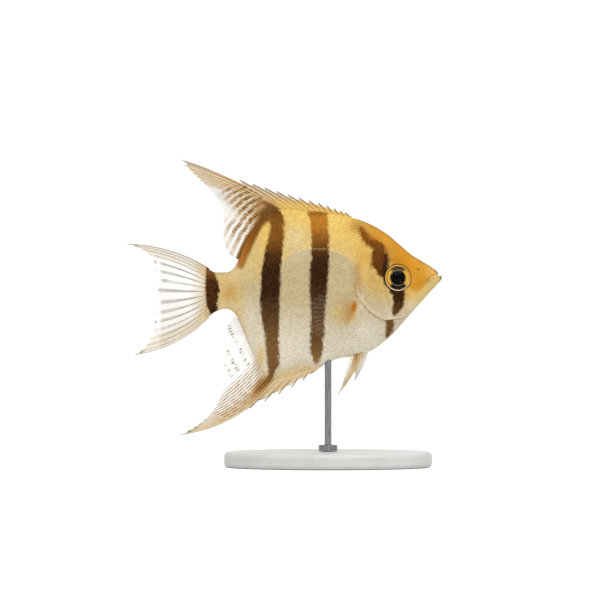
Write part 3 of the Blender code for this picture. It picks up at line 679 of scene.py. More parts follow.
scales = {
    "spacing": [
        (-38.6, 0.62), (-30.0, 0.80), (-20.0, 1.08), (-5.0, 1.18), (6.0, 1.12), (12.0, 0.88),
        (18.0, 0.66), (24.0, 0.52), (30.0, 0.5),
    ],
    "length": 1.75, "width": 1.16,  # in spacings, so that they overlap
    "along": (0.0, 0.36, 0.72, 1.0), "across": (-1.0, -0.5, 0.0, 0.5, 1.0),  # the grid of one scale
    "straight": 0.4, "straightWidth": (0.8, 0.5), "roundTo": 0.66, "bulge": 0.06, "behind": 0.35,
    "sunk": 0.055, "lift": 0.075, "dish": 0.02, "thickness": 0.04, "unevenSize": 0.06,
    "unevenLift": (0.8, 1.2),
    "first": -37.9, "last": 25.6, "mapPatch": 0.003, "seed": 11,
    "faceLine": [(8, 72), (13, 65.5), (17, 59.5), (19.5, 55.5), (26, 44.5), (30, 40)],  # bare above it
}


def sideGrid(grid, side):  # one flank of a closed grid, its columns running from the back to the belly
    middle = body["around"] // 2
    columns = np.arange(middle + 1)
    return grid[:, columns if side > 0 else (body["around"] - columns) % body["around"]]


def sampleGrid(grid, row, column):
    row = np.clip(row, 0, grid.shape[0] - 1.001)
    column = np.clip(column, 0, grid.shape[1] - 1.001)
    r, c = np.floor(row).astype(int), np.floor(column).astype(int)
    fr, fc = (row - r)[..., None], (column - c)[..., None]
    upper = grid[r, c] * (1 - fc) + grid[r, c + 1] * fc
    lower = grid[r + 1, c] * (1 - fc) + grid[r + 1, c + 1] * fc
    return upper * (1 - fr) + lower * fr


def girthOf(grid):  # distance round the flank from its widest line, for each grid point
    steps = np.linalg.norm(np.diff(grid, axis=1), axis=-1)
    girth = np.concatenate([np.zeros((len(grid), 1)), np.cumsum(steps, axis=1)], axis=1)
    return girth - girth[:, grid.shape[1] // 2][:, None]


def columnAt(girth, row, distance):  # the grid column that lies at a girth distance, on any row
    row = np.clip(row, 0, len(girth) - 1.001)
    r = np.floor(row).astype(int)
    found = np.empty(np.shape(row))
    flatRow, flatR, flatDistance, flatFound = row.ravel(), r.ravel(), distance.ravel(), found.ravel()
    order = np.argsort(flatR, kind="stable")
    edges = np.flatnonzero(np.diff(flatR[order])) + 1
    columns = np.arange(girth.shape[1])
    for group in np.split(order, edges):
        here = flatR[group[0]]
        low = np.interp(flatDistance[group], girth[here], columns)
        high = np.interp(flatDistance[group], girth[here + 1], columns)
        share = flatRow[group] - here
        flatFound[group] = low * (1 - share) + high * share
    return flatFound.reshape(np.shape(row))


def scaleRoots(girth):
    spacing = smoothCurve(scales["spacing"])
    roots, x, odd = [], scales["first"], 0
    while x < scales["last"]:
        size = float(spacing(x))
        row = np.interp(x, ringX, np.arange(len(ringX)))
        low, high = girth[int(row), 0], girth[int(row), -1]
        for k in range(math.ceil(low / size), math.floor(high / size) + 1):
            roots.append((x, (k + 0.5 * odd) * size, size))
        x += size * 0.5
        odd = 1 - odd
    return np.array(roots)


def scaled(x, y, z):  # which places grow scales
    eyeX, eyeZ = face["eye"]
    keep = np.hypot(x - eyeX, z - eyeZ) > face["eyeRadius"] + 0.95
    keep &= z < smoothCurve(scales["faceLine"])(np.maximum(x, scales["faceLine"][0][0]))
    keep &= (z > belly(x) + 0.35) & (z < back(x) - 0.3) & (np.abs(y) > 0.28)
    gap, share, side = nearest(face["gillEdge"], x, z)
    keep &= ~((gap < 0.5) & (side > 0) & (share > 0.08)) & ~((gap < 0.25) & (share > 0.08))
    gap, share, side = nearest(face["cheekGroove"], x, z)
    keep &= gap > 0.35
    gap, share, side = nearest(face["breastFinRoot"], x, z)
    keep &= gap > 1.0
    keep &= ~((np.abs(x) < 1.7) & (z < belly(x) + 2.2))  # bare round the rod's socket
    return keep


def makeScales(name, side, part):  # part 0 is the rear half of the scales, part 1 the front half
    random = np.random.default_rng(scales["seed"] + 2 * part + (side > 0))
    grid, base = sideGrid(skinGrid, side), sideGrid(smoothBody, side)
    lie = gridNormals(grid, False)
    if (lie[:, grid.shape[1] // 2, 1] * side).sum() < 0:
        lie = -lie
    girth = girthOf(base)
    roots = scaleRoots(girth)
    rows = np.interp(roots[:, 0], ringX, np.arange(len(ringX)))
    column = columnAt(girth, rows, roots[:, 1])
    place = sampleGrid(base, rows, column)
    keep = scaled(place[:, 0], place[:, 1], place[:, 2])
    keep &= (column > 0.5) & (column < grid.shape[1] - 1.5)
    chosen = np.array_split(np.flatnonzero(keep), 2)[part]
    roots, column, rows = roots[chosen], column[chosen], rows[chosen]
    along, across = np.array(scales["along"]), np.array(scales["across"])
    rounding = np.sqrt(np.clip(1 - ((along - scales["straight"]) / scales["roundTo"]) ** 2, 0, 1))
    rootWidth, widening = scales["straightWidth"]
    outline = np.where(along < scales["straight"], rootWidth + widening * along, rounding)
    u, v = np.meshgrid(along, across, indexing="ij")
    uneven = 1 + scales["unevenSize"] * random.standard_normal(len(roots))
    size = (roots[:, 2] * uneven)[:, None, None]
    tailwards = (u + scales["bulge"] * (1 - v * v) * (u > 0.9)) - scales["behind"]
    x = roots[:, 0][:, None, None] - tailwards[None] * size * scales["length"]
    around = roots[:, 1][:, None, None] + v[None] * outline[None, :, None] * size * scales["width"] / 2
    gridRow = np.interp(x, ringX, np.arange(len(ringX)))
    gridColumn = columnAt(girth, gridRow, around)
    skinPlace, normal = sampleGrid(grid, gridRow, gridColumn), sampleGrid(lie, gridRow, gridColumn)
    flat = sampleGrid(base, gridRow, gridColumn)
    reach = np.clip(size / 1.1, 0.5, 1.1)[..., None]
    lift = random.uniform(*scales["unevenLift"], len(roots))[:, None, None, None]
    rise = -scales["sunk"] + (scales["sunk"] + scales["lift"]) * u ** 0.8 - scales["dish"] * v * v
    top = skinPlace + normal * rise[None, ..., None] * reach * lift
    under = top - normal * scales["thickness"] * reach
    count, m, n = len(roots), len(along), len(across)
    points = np.stack([top, under], axis=1).reshape(-1, 3)
    one = closedSheet(m, n)
    if side > 0:
        one = one[:, ::-1]
    quads = (one[None] + (np.arange(count) * 2 * m * n)[:, None, None]).reshape(-1, 4)
    spot = np.stack([flat, flat], axis=1).reshape(-1, 3)
    masks = skinMasks(spot[:, 0], spot[:, 1], spot[:, 2])
    masks["scaleTone"] = np.repeat(random.random(count), 2 * m * n)
    masks["scaleEdge"] = np.tile(np.tile(ramp(u, 0.55, 1.0).ravel(), 2), count)
    share = np.interp(rows, np.arange(len(ringX)), ringShare)
    turn = (column if side > 0 else body["around"] - column) / body["around"]
    patch = np.stack([
        onMap(share[:, None, None]) - (u[None] - 0.5) * scales["mapPatch"],
        onMap(turn[:, None, None]) + v[None] * scales["mapPatch"] / 2,
    ], axis=-1)
    patch = np.stack([patch, patch], axis=1).reshape(-1, 2)
    makePiece(name, points, quads.tolist(), scaleFinish, masks, patch[quads.ravel()])
    print(name, "made:", count, "scales,", len(quads) * 2, "triangles")


scaleFinish = skinMaterial("silveryScales", True)
for name, side in (("right", -1), ("left", 1)):
    makeScales("scales_rear_" + name, side, 0)
    makeScales("scales_front_" + name, side, 1)


eyes = {
    "depthIntoHead": 0.25, "steps": 72,
    "profile": [
        (0.0, 0.56), (1.0, 0.55), (1.8, 0.50), (2.14, 0.44), (2.24, 0.34), (2.32, 0.40), (2.40, 0.46),
        (2.50, 0.45), (2.58, 0.40), (2.70, 0.38), (3.00, 0.36), (3.30, 0.33), (3.46, 0.28), (3.53, 0.22),
        (3.60, 0.28), (3.76, 0.36), (3.92, 0.42), (4.04, 0.42), (4.14, 0.30), (4.20, 0.05), (4.10, -0.30),
        (3.20, -0.90), (1.6, -1.15), (0.0, -1.2),
    ],
    "corneaRadius": 3.74, "corneaFoot": 0.34, "corneaTop": 1.30, "corneaThickness": 0.06,
    "pupil": "#030101", "pupilRing": "#a98a55", "iris": "#e9b93c", "irisInner": "#a07a2c",
    "irisDark": "#3a2410", "irisBlack": "#0b0603", "maroon": "#5a2410", "outerRing": "#e2b068",
    "outerRingLow": "#fbe7cf", "fleck": "#8a6620", "warmEdge": "#cf9230", "outline": "#3c2410",
    "lumps": (0.3, 0.00006),
}


def eyeFrame(side):
    x, z = face["eye"]
    facing = sideNormal(x, z, side)
    up = np.array([0.0, 0.0, 1.0]) - facing * facing[2]
    up /= np.linalg.norm(up)
    front = np.cross(up, facing) * side
    seat = np.array([x, side * (float(sideOfBody(x, z)) - eyes["depthIntoHead"]), z])
    return seat, facing, up, front


def turned(profile, side):  # a profile of (radius, height) turned round the eye's axis
    seat, facing, up, front = eyeFrame(side)
    steps = eyes["steps"]
    angle = np.linspace(0, 2 * math.pi, steps, endpoint=False)
    points, faces = [], []
    for radius, height in profile:
        ring = front * (radius * np.cos(angle))[:, None] + up * (radius * np.sin(angle))[:, None]
        points.append(seat + ring + facing * height)
    points = np.concatenate(points)
    for k in range(len(profile) - 1):
        for i in range(steps):
            j = (i + 1) % steps
            quad = [k * steps + i, k * steps + j, (k + 1) * steps + j, (k + 1) * steps + i]
            if profile[k][0] == 0:
                quad = [k * steps, quad[2], quad[3]]
            elif profile[k + 1][0] == 0:
                quad = [quad[0], quad[1], (k + 1) * steps]
            faces.append(quad if side < 0 else quad[::-1])
    used = sorted({i for corners in faces for i in corners})  # leaves out the spare points of the poles
    renumber = {old: new for new, old in enumerate(used)}
    faces = [[renumber[i] for i in corners] for corners in faces]
    radii = np.repeat([radius for radius, height in profile], steps)
    masks = {
        "eyeRadius": radii[used], "eyeUp": np.tile(np.sin(angle), len(profile))[used],
        "eyeFront": np.tile(np.cos(angle), len(profile))[used],
    }
    return points[used], faces, masks


def eyeMaterial():
    material, tree, shader = newMaterial("eyeball")
    radius, up, front = mask(tree, "eyeRadius"), mask(tree, "eyeUp"), mask(tree, "eyeFront")
    fibre = grain(tree, 0.35, 3.0)
    wobbly = maths(tree, "ADD", up, swing(tree, fibre, 0.3))

    def paintOver(amount, under, name):
        return blendIn(tree, amount, under, paint(eyes[name]))

    colour = blendIn(tree, spread(tree, radius, 2.55, 3.0), paint(eyes["irisInner"]), paint(eyes["iris"]))
    colour = paintOver(spread(tree, fibre, 0.45, 0.75, 0.0, 0.3), colour, "fleck")
    # the dark parts above and below the pupil are sectors with soft sides
    colour = paintOver(spread(tree, wobbly, 0.58, 0.92), colour, "irisDark")
    colour = paintOver(spread(tree, wobbly, -0.52, -0.8), colour, "irisBlack")
    ringed = maths(tree, "MULTIPLY", spread(tree, radius, 3.40, 3.48), spread(tree, radius, 3.66, 3.58))
    foreside = spread(tree, maths(tree, "ADD", up, front), -0.6, 0.2, 0.15, 1.0)
    ringed = maths(tree, "MULTIPLY", ringed, foreside)
    colour = paintOver(ringed, colour, "maroon")
    upwards = spread(tree, up, -0.8, -0.3, 0.3, 0.85)
    warm = maths(tree, "MULTIPLY", spread(tree, radius, 3.58, 3.68), upwards)
    colour = paintOver(warm, colour, "warmEdge")
    outer = paintOver(spread(tree, up, 0.1, -0.9), paint(eyes["outerRing"]), "outerRingLow")
    colour = blendIn(tree, spread(tree, radius, 3.86, 3.94), colour, outer)
    colour = paintOver(spread(tree, radius, 4.06, 4.15), colour, "outline")
    shown = spread(tree, maths(tree, "ABSOLUTE", up), 0.3, 0.9, 0.15, 0.9)
    ringed = maths(tree, "MULTIPLY", spread(tree, radius, 2.62, 2.54), shown)
    colour = paintOver(ringed, colour, "pupilRing")
    colour = paintOver(spread(tree, radius, 2.45, 2.37), colour, "pupil")
    plug(tree, shader, {
        "Base Color": colour, "Roughness": spread(tree, radius, 2.0, 2.5, 0.08, 0.3),
        "Specular IOR Level": 0.05, "Normal": lumps(tree, fibre, *eyes["lumps"]),
    })
    return material


def corneaMaterial():
    material, tree, shader = newMaterial("cornea")
    tree.nodes.remove(shader)
    clear = addNode(tree, "ShaderNodeBsdfTransparent", {"Color": (1, 1, 1, 1)})
    gloss = addNode(tree, "ShaderNodeBsdfGlossy", {"Color": (1, 1, 1, 1), "Roughness": 0.04})
    facing = addNode(tree, "ShaderNodeFresnel", {"IOR": 1.3}).outputs[0]
    rim = spread(tree, facing, 0.03, 0.7, 0.004, 0.16)
    film = addNode(tree, "ShaderNodeMixShader", {0: rim, 1: clear.outputs[0], 2: gloss.outputs[0]})
    tree.links.new(film.outputs[0], tree.nodes["Material Output"].inputs["Surface"])
    return material


eyeFinish, corneaFinish = eyeMaterial(), corneaMaterial()
for name, side in (("right", -1), ("left", 1)):
    points, faces, masks = turned(eyes["profile"], side)
    ball = makePiece("eyeball_" + name, points, faces, eyeFinish, masks)
    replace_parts(ball, "eye_" + name)
    radius, foot, top = eyes["corneaRadius"], eyes["corneaFoot"], eyes["corneaTop"]
    slopes = np.linspace(0, math.pi / 2, 16)
    lens = [(radius * math.sin(a), foot + (top - foot) * math.cos(a)) for a in slopes]
    inner = [(r * 0.985, h - eyes["corneaThickness"]) for r, h in reversed(lens)]
    lens[0] = (0.0, lens[0][1])
    inner[-1] = (0.0, inner[-1][1])
    points, faces, masks = turned(lens + inner, side)
    makePiece("cornea_" + name, points, faces, corneaFinish)
print("eyes made")


dorsalFin = {
    "spines": 12, "softRays": 24, "spineRoots": (6.4, -14.0), "softRoots": (-15.0, -28.5),
    "spineTips": [(5.3, 70.9), (-1.3, 73.4), (-11.5, 76.1), (-28.0, 81.1)], "spineCrowding": 1.35,
    "spineBow": 0.45,
    "softTips": [
        (-46.9, 87.7), (-46.3, 86.2), (-43.0, 83.0), (-38.0, 78.4), (-34.6, 73.8), (-33.4, 69.8),
        (-33.5, 65.2), (-33.0, 61.2), (-31.8, 58.0),
    ],
    "softCrowding": 0.9, "bow": (0.0, 1.5), "bowFall": 1.6, "sway": -1.2, "rows": 84, "notch": 0.34,
    "deeper": 0.9,
    "checks": {"period": 2.08, "jitter": 0.2, "edges": (-0.85, 0.3)},
    # brown touches: soft ray, distance from the body, radius over rays, radius outwards, strength
    "footTouches": [
        (3.2, 0.6, 2.9, 3.0, 0.9), (1.7, 4.0, 1.4, 2.6, 0.56), (3.4, 6.0, 1.6, 1.8, 0.4),
        (6.6, 2.2, 2.4, 2.6, 0.5), (10.0, 0.0, 5.0, 1.6, 0.75),
    ],
}
analFin = {
    "spines": 6, "softRays": 30, "spineRoots": (-3.0, -16.2), "softRoots": (-17.4, -28.9),
    "spineTips": [(-5.6, 19.6), (-8.7, 17.2), (-16.0, 13.0), (-24.8, 8.7)], "spineCrowding": 1.2,
    "spineBow": 0.0,
    "softTips": [
        (-47.9, 0.1), (-45.6, 1.2), (-40.4, 4.4), (-36.4, 8.4), (-34.2, 12.8), (-33.2, 18.0),
        (-32.9, 26.0), (-32.2, 33.0), (-31.0, 37.2),
    ],
    "softCrowding": 0.8, "bow": (0.0, -4.0), "bowFall": 5.0, "sway": 1.0, "rows": 84, "notch": 0.42,
    "deeper": 0.9,
    "dashes": {"period": 3.4, "jitter": 2.0, "edges": (-0.9, 0.3)}, "dotRows": (3.4, 6.8, 9.6),
    "footTouches": [
        (2.2, 0.0, 1.5, 3.0, 0.8), (2.4, 4.5, 1.3, 3.0, 0.5), (2.6, 9.5, 1.4, 4.0, 0.3),
        (4.0, 3.2, 1.6, 3.8, 0.5), (0.8, 7.0, 1.2, 5.0, 0.3), (5.2, 3.2, 1.0, 2.0, 0.2),
    ],
}
tailFin = {
    "rays": 16, "root": -38.6, "rootInset": 0.3, "crowding": 0.85,
    "knotsAt": (7.0, 9.6, 12.2, 14.4, 17.4),
    "tips": [
        (-64.0, 60.9), (-59.4, 59.2), (-56.8, 57.1), (-55.6, 53.3), (-55.2, 47.9), (-55.1, 43.1),
        (-55.3, 37.4), (-56.2, 32.6), (-58.1, 28.8), (-60.0, 26.9), (-62.1, 25.6),
    ],
    "bow": (1.9, -2.5), "sway": 1.4, "rows": 64, "notch": 0.02,
}
breastFin = {
    "rays": 12, "rise": (14.0, -33.0), "reach": [13.6, 16.4, 16.8, 15.6, 12.6], "splay": 27.0,
    "rootDepth": 0.6, "rows": 40, "notch": 0.02,
}
bellyFin = {
    "rays": 6, "rootSide": 1.15, "splay": 7.0, "rows": 40, "notch": 0.05,
    "rightRoot": [(11.0, 27.0), (6.6, 26.2)], "rightTips": [(2.0, 12.2), (3.9, 14.8), (5.2, 19.2)],
    "leftRoot": [(12.9, 27.8), (8.6, 26.6)], "leftTips": [(7.9, 16.5), (8.5, 18.6), (8.2, 21.6)],
    "rightBow": (-1.2, -0.3), "leftBow": (-0.8, -0.2), "rightStrength": 1.0, "leftStrength": 0.25,
}
finBuild = {
    "lastSpineClimb": 0.45, "softNotch": 0.035, "rootInside": 0.8, "gapToBody": 0.3, "seed": 5,
    "webThickness": (0.10, 0.05), "webColumns": 4, "webEnd": 0.985,
    "spineThickness": (0.46, 0.34), "spineTip": 2.8,
    "rayThickness": (0.30, 0.07), "raySides": 6, "rayStep": 0.55,
    "forks": (0.40, 0.72), "forkSpread": (0.13, 0.085), "forkSlimming": (0.8, 0.62), "forkLength": 0.22,
}


def newFin(rays, rows, notch, deeper=0.0):  # rays are (root, tip, bow, drift, isSpine)
    roots, tips = (np.array([ray[k] for ray in rays], float) for k in (0, 1))
    chord = tips - roots
    inside = (finBuild["rootInside"] + deeper) * chord / np.linalg.norm(chord, axis=1, keepdims=True)
    return {
        "roots": roots - inside, "tips": tips, "bow": np.array([ray[2] for ray in rays]),
        "drifts": np.array([float(ray[3]) for ray in rays]),
        "isSpine": np.array([ray[4] for ray in rays]),
        "length": np.linalg.norm(chord, axis=1) + deeper, "deeper": deeper, "rows": rows, "notch": notch,
        "count": len(rays),
    }


def alongRay(fin, index, t):
    root, tip = fin["roots"][index], fin["tips"][index]
    chord = tip - root
    across = np.stack([-chord[..., 2], np.zeros(np.shape(index)), chord[..., 0]], axis=-1)
    across /= np.linalg.norm(across, axis=-1, keepdims=True)
    across *= np.where(across[..., 2:] < 0, -1, 1)
    t = np.asarray(t)[..., None]
    point = root + chord * t + across * fin["bow"][index][..., None] * 4 * t * (1 - t)
    drift = fin["drifts"][index][..., None]
    point[..., 1:2] = root[..., 1:2] + chord[..., 1:2] * (t * t * drift + t * (1 - drift))
    return point


def finPoint(fin, place, t, notched=True):
    # a point of the fin: place counts the rays from front to back, t runs from root to rim
    first = np.clip(np.floor(place).astype(int), 0, fin["count"] - 2)
    share = place - first
    crossing = fin["isSpine"][first] & ~fin["isSpine"][first + 1]
    if notched:
        hung = fin["isSpine"][first] & ~crossing
        sag = np.where(hung, 0.25 + 0.75 * np.sqrt(share), 4 * share * (1 - share))
        notch = np.minimum(fin["notch"], finBuild["spineTip"] / fin["length"][first + 1])
        t = t * (1 - np.where(hung, notch, finBuild["softNotch"]) * sag)
    there = np.where(crossing, t * finBuild["lastSpineClimb"], t)
    near, far = alongRay(fin, first, t), alongRay(fin, first + 1, there)
    point = near * (1 - share)[..., None] + far * share[..., None]
    length = fin["length"][first] * t * (1 - share) + fin["length"][first + 1] * there * share
    return point, length - fin["deeper"]


def edgeRoots(edge, start, stop, outwards):
    x = np.linspace(start, stop, 40)
    along = np.stack([np.full(40, 0.2), edge(x + 0.1) - edge(x - 0.1)], axis=-1)
    along /= np.linalg.norm(along, axis=1, keepdims=True)
    return curveThrough(np.stack([x, edge(x)], -1) + np.stack([-along[:, 1], along[:, 0]], -1) * outwards)


def medianFin(plan, edge, outwards):
    spineRoots, softRoots = (edgeRoots(edge, *plan[name], outwards) for name in ("spineRoots", "softRoots"))
    spineTips, softTips = curveThrough(plan["spineTips"]), curveThrough(plan["softTips"])
    rays = []
    for t in np.linspace(0, 1, plan["spines"]):
        root, tip = spineRoots(t), spineTips(t ** plan["spineCrowding"])
        rays.append(((root[0], 0, root[1]), (tip[0], 0, tip[1]), plan["spineBow"] * t, True, True))
    for t in np.linspace(0, 1, plan["softRays"]):
        root, tip = softRoots(t), softTips(t ** plan["softCrowding"])
        bow = between(plan["bow"], (1 - t) ** plan["bowFall"])
        rays.append(((root[0], 0, root[1]), (tip[0], plan["sway"] * (1 - t), tip[1]), bow, True, False))
    return newFin(rays, plan["rows"], plan["notch"], plan["deeper"])


def caudalFin(plan):
    root, inset = plan["root"], plan["rootInset"]
    edges, tips = (float(back(root)) - inset, float(belly(root)) + inset), curveThrough(plan["tips"])
    rays = []
    for t in np.linspace(0, 1, plan["rays"]):
        tipX, tipZ = tips(0.5 + 0.5 * math.copysign(abs(2 * t - 1) ** plan["crowding"], 2 * t - 1))
        tip = (tipX, plan["sway"] * math.cos(math.pi * t), tipZ)
        rays.append(((root, 0, between(edges, t)), tip, between(plan["bow"], t), True, False))
    return newFin(rays, plan["rows"], plan["notch"])


def pectoralFin(plan, side):
    line, reach = curveThrough(face["breastFinRoot"]), smoothCurve(list(enumerate(plan["reach"])))
    splay = math.radians(plan["splay"])
    rays = []
    for t in np.linspace(0, 1, plan["rays"]):
        x, z = line(t)
        root = np.array([x, side * (float(sideOfBody(x, z)) - plan["rootDepth"]), z])
        rise = math.radians(between(plan["rise"], t))
        aim = np.array([-math.cos(rise) * math.cos(splay), side * math.sin(splay), math.sin(rise)])
        length = float(reach(t * (len(plan["reach"]) - 1)))
        rays.append((root, root + aim / np.linalg.norm(aim) * length, 0, False, False))
    return newFin(rays, plan["rows"], plan["notch"])


def pelvicFin(plan, side):
    name = "left" if side > 0 else "right"
    roots, tips = curveThrough(plan[name + "Root"]), curveThrough(plan[name + "Tips"])
    bow, lean = plan[name + "Bow"], math.tan(math.radians(plan["splay"]))
    rays = []
    for t in np.linspace(0, 1, plan["rays"]):
        (x, z), (tipX, tipZ) = roots(t), tips(t)
        tip = (tipX, side * (plan["rootSide"] + lean * (z - tipZ)), tipZ)
        rays.append(((x, side * plan["rootSide"], z), tip, between(bow, t), False, False))
    return {**newFin(rays, plan["rows"], plan["notch"]), "strong": plan[name + "Strength"]}


finDice = np.random.default_rng(finBuild["seed"]).random((64, 64))


def chance(row, column):  # a fixed random number for each ray and band
    return finDice[np.round(row).astype(int) % 64, np.round(column).astype(int) % 64]


def rayLine(place, width):  # 1 on a ray, 0 between the rays
    return bump(place - np.round(place), width)


def bands(place, distance, period, jitter, edges):  # broken bands across the rays, 0 to 1
    shifted = distance / period + (chance(place, 3 * np.ones(np.shape(place))) - 0.5) * jitter
    strength = 0.6 + 0.4 * chance(place, np.round(shifted) + 7)
    return ramp(np.cos(2 * math.pi * shifted), *edges) * strength


# each pattern gives brown, gold, grey and tan colouring and the cover of web or ray at places on a fin

def dorsalPattern(fin, place, t, distance, points, onRay):
    soft = place - dorsalFin["spines"]
    onSoft = ramp(soft, -0.9, 0.0)
    line = 1.0 if onRay else rayLine(place, 0.22)
    lead, rear = ramp(5.5 + 2.2 * ramp(distance, 13, 21) - soft, 0, 4), ramp(soft, 7, 15)
    early = ramp(soft, 4, 8) * (1 - ramp(soft, 11, 15))
    last = ramp(soft, 15.5, 20)
    fade = ramp(24 - 10 * rear - 5 * early - distance, 0, 12) * ramp(soft + 0.16 * distance, 1.0, 2.4)
    fade *= 1 - 0.45 * last
    checks = bands(place, distance - 0.6, **dorsalFin["checks"]) * fade * (1 - 0.28 * rear)
    checks *= 1 - (0.62 - 0.3 * rear) * line
    patch = np.clip(airbrush(soft, distance, dorsalFin["footTouches"]), 0, 0.84)
    foot = 0.8 * ramp(1.2 - distance, -0.4, 0.7) * ramp(soft, 2, 4)
    leadBrown = lead * (1 - line) * ramp(distance, 4, 8) * (0.52 - 0.22 * ramp(t, 0.5, 1))
    brown = np.maximum.reduce([checks, foot, patch * (1 - 0.25 * line * ramp(distance, 1, 4)), leadBrown])
    brown = onSoft * brown * (1 - 0.8 * ramp(1.1 - soft, 0, 1.3) * ramp(6 - distance, 0, 3))
    leadTan = 0.34 * bump(soft - 0.3, 1.2) * ramp(14 - distance, 0, 5) * ramp(distance, 0.6, 3)
    brown = np.maximum.reduce([brown, leadTan, (1 - onSoft) * line * (0.2 + 0.3 * ramp(t, 0.2, 0.6))])
    inSkin = ramp(2.6 - distance, 0, 2.2)
    goldLead = ramp(2.2 - soft, 0, 1.8) * ramp(8 - distance, 0, 6)
    gold = np.maximum((1 - onSoft) * np.maximum(inSkin, 0.9 - 0.85 * ramp(t, 0.15, 0.65)), 0.85 * goldLead)
    tips = ramp(t, 0.68, 0.85) if onRay else ramp(t, 0.85, 1.0) * 0.4
    grey = np.maximum(0.7 * (1 - onSoft) * tips, lead * (0.05 + 0.6 * bump(soft, 0.3)) * ramp(t, 0.5, 1.0))
    grey = np.maximum(grey, 0.35 * ramp(distance, 9, 18) * ramp(soft, 4, 9))
    veil = ramp(20 - 8 * rear - distance, 0, 14) * (1 - 0.5 * last) * (1 - 0.75 * rear)
    cover = 0.12 - 0.04 * rear + 1.1 * brown + (1 - onSoft) * (0.95 - 0.6 * ramp(t, 0.3, 0.85))
    cover += onSoft * (0.45 * veil + 0.75 * lead)
    cover = np.maximum(cover, 0.95 * goldLead)
    if onRay:
        cover = np.where(onSoft > 0.5, 0.25 - 0.1 * rear + 0.75 * lead + 0.3 * veil, 1.0)
        cover = np.maximum(cover, patch * 1.3)
    pale = 1 - 0.35 * ramp(t, 0.55, 0.95)
    tan = np.maximum.reduce([
        (1 - onSoft) * (1 - 0.6 * ramp(t, 0.4, 0.8)), lead * pale * (0.15 if onRay else 0.6), 0.3 * veil,
    ])
    return {"brown": brown, "gold": gold, "grey": grey, "tan": tan, "cover": cover}


def analPattern(fin, place, t, distance, points, onRay):
    soft = place - analFin["spines"]
    onSoft = ramp(soft, -0.9, 0.0)
    line = 1.0 if onRay else rayLine(place, 0.27)
    blade, rear = ramp(5.5 - soft, 0, 4.5), ramp(soft, 9, 12.5)
    dashes = 0.55 + 0.45 * bands(place, distance, **analFin["dashes"])
    streaks = line * dashes * ramp(soft, 0.1, 1.2) * (1 - rear) * ramp(29 - distance, 0, 12)
    outer = ramp(distance, 9, 15) * ramp(soft, 3.5, 6)
    streaks *= (0.66 - 0.14 * ramp(soft, 4, 8)) * (1 - 0.15 * outer)
    foot = np.clip(airbrush(soft, distance, analFin["footTouches"]), 0, 1)
    brown = onSoft * np.maximum(streaks, foot * (0.7 + 0.3 * line))
    brown = np.maximum(brown, onSoft * blade * 0.16 * (1 - 0.5 * t))
    brown = np.maximum(brown, (1 - onSoft) * line * (0.1 + 0.3 * ramp(t, 0.25, 0.7)))
    inSkin = ramp(3.0 - distance, 0, 2.6)
    gold = (1 - onSoft) * (0.14 + 0.2 * inSkin) + 0.15 * onSoft * blade * ramp(12 - distance, 0, 8)
    rows = sum(
        bump(distance - at - 0.7 * (chance(place, at) - 0.5), 0.6) * chance(place, at + 1)
        for at in analFin["dotRows"]
    )
    dots = rear * np.clip(rows, 0, 1) * (1.0 if onRay else rayLine(place, 0.45))
    tips = ramp(t, 0.6, 0.85) if onRay else 0.4 * ramp(t, 0.85, 1.0)
    outline = onSoft * bump(soft, 0.12) * ramp(t, 0.1, 0.5)
    bladeTip = 0.7 * blade * ramp(t, 0.92, 0.97)
    grey = np.maximum.reduce([0.7 * (1 - onSoft) * tips, 0.5 * outline, bladeTip, 0.8 * dots])
    grey = np.maximum(grey, (0.16 + 0.25 * rear) * onSoft * line * ramp(soft, 3, 8))
    front = 1 - 0.6 * ramp(-soft, 2.0, 5.0)
    tan = np.maximum.reduce([
        blade * (0.4 if onRay else 0.78), (1 - onSoft) * front * (1 - 0.3 * inSkin),
        0.35 * inSkin, 0.2 * (1 - rear),
    ])
    tan = tan * (1 - 0.65 * ramp(distance, 15, 22) * ramp(soft, 1.0, 3.5))
    softCover = 0.9 * blade + 0.5 * inSkin * (1 - 0.4 * ramp(soft, 12, 19))
    cover = 0.1 + 0.9 * brown + (1 - onSoft) * (0.6 + 0.4 * inSkin - 0.2 * t) + onSoft * softCover
    cover += 0.15 * onSoft * (1 - rear) * (1 - blade) + 0.1 * rear * line * ramp(7 - distance, 0, 4)
    cover = np.maximum(cover * (1 - 0.4 * rear), 0.75 * dots)
    if onRay:
        softCover = 0.12 - 0.07 * rear + 1.2 * brown + 0.9 * blade + 0.7 * dots + 0.25 * (1 - rear)
        cover = np.where(onSoft > 0.5, softCover, 0.95)
    return {"brown": brown, "gold": gold, "grey": grey, "tan": tan, "cover": cover}


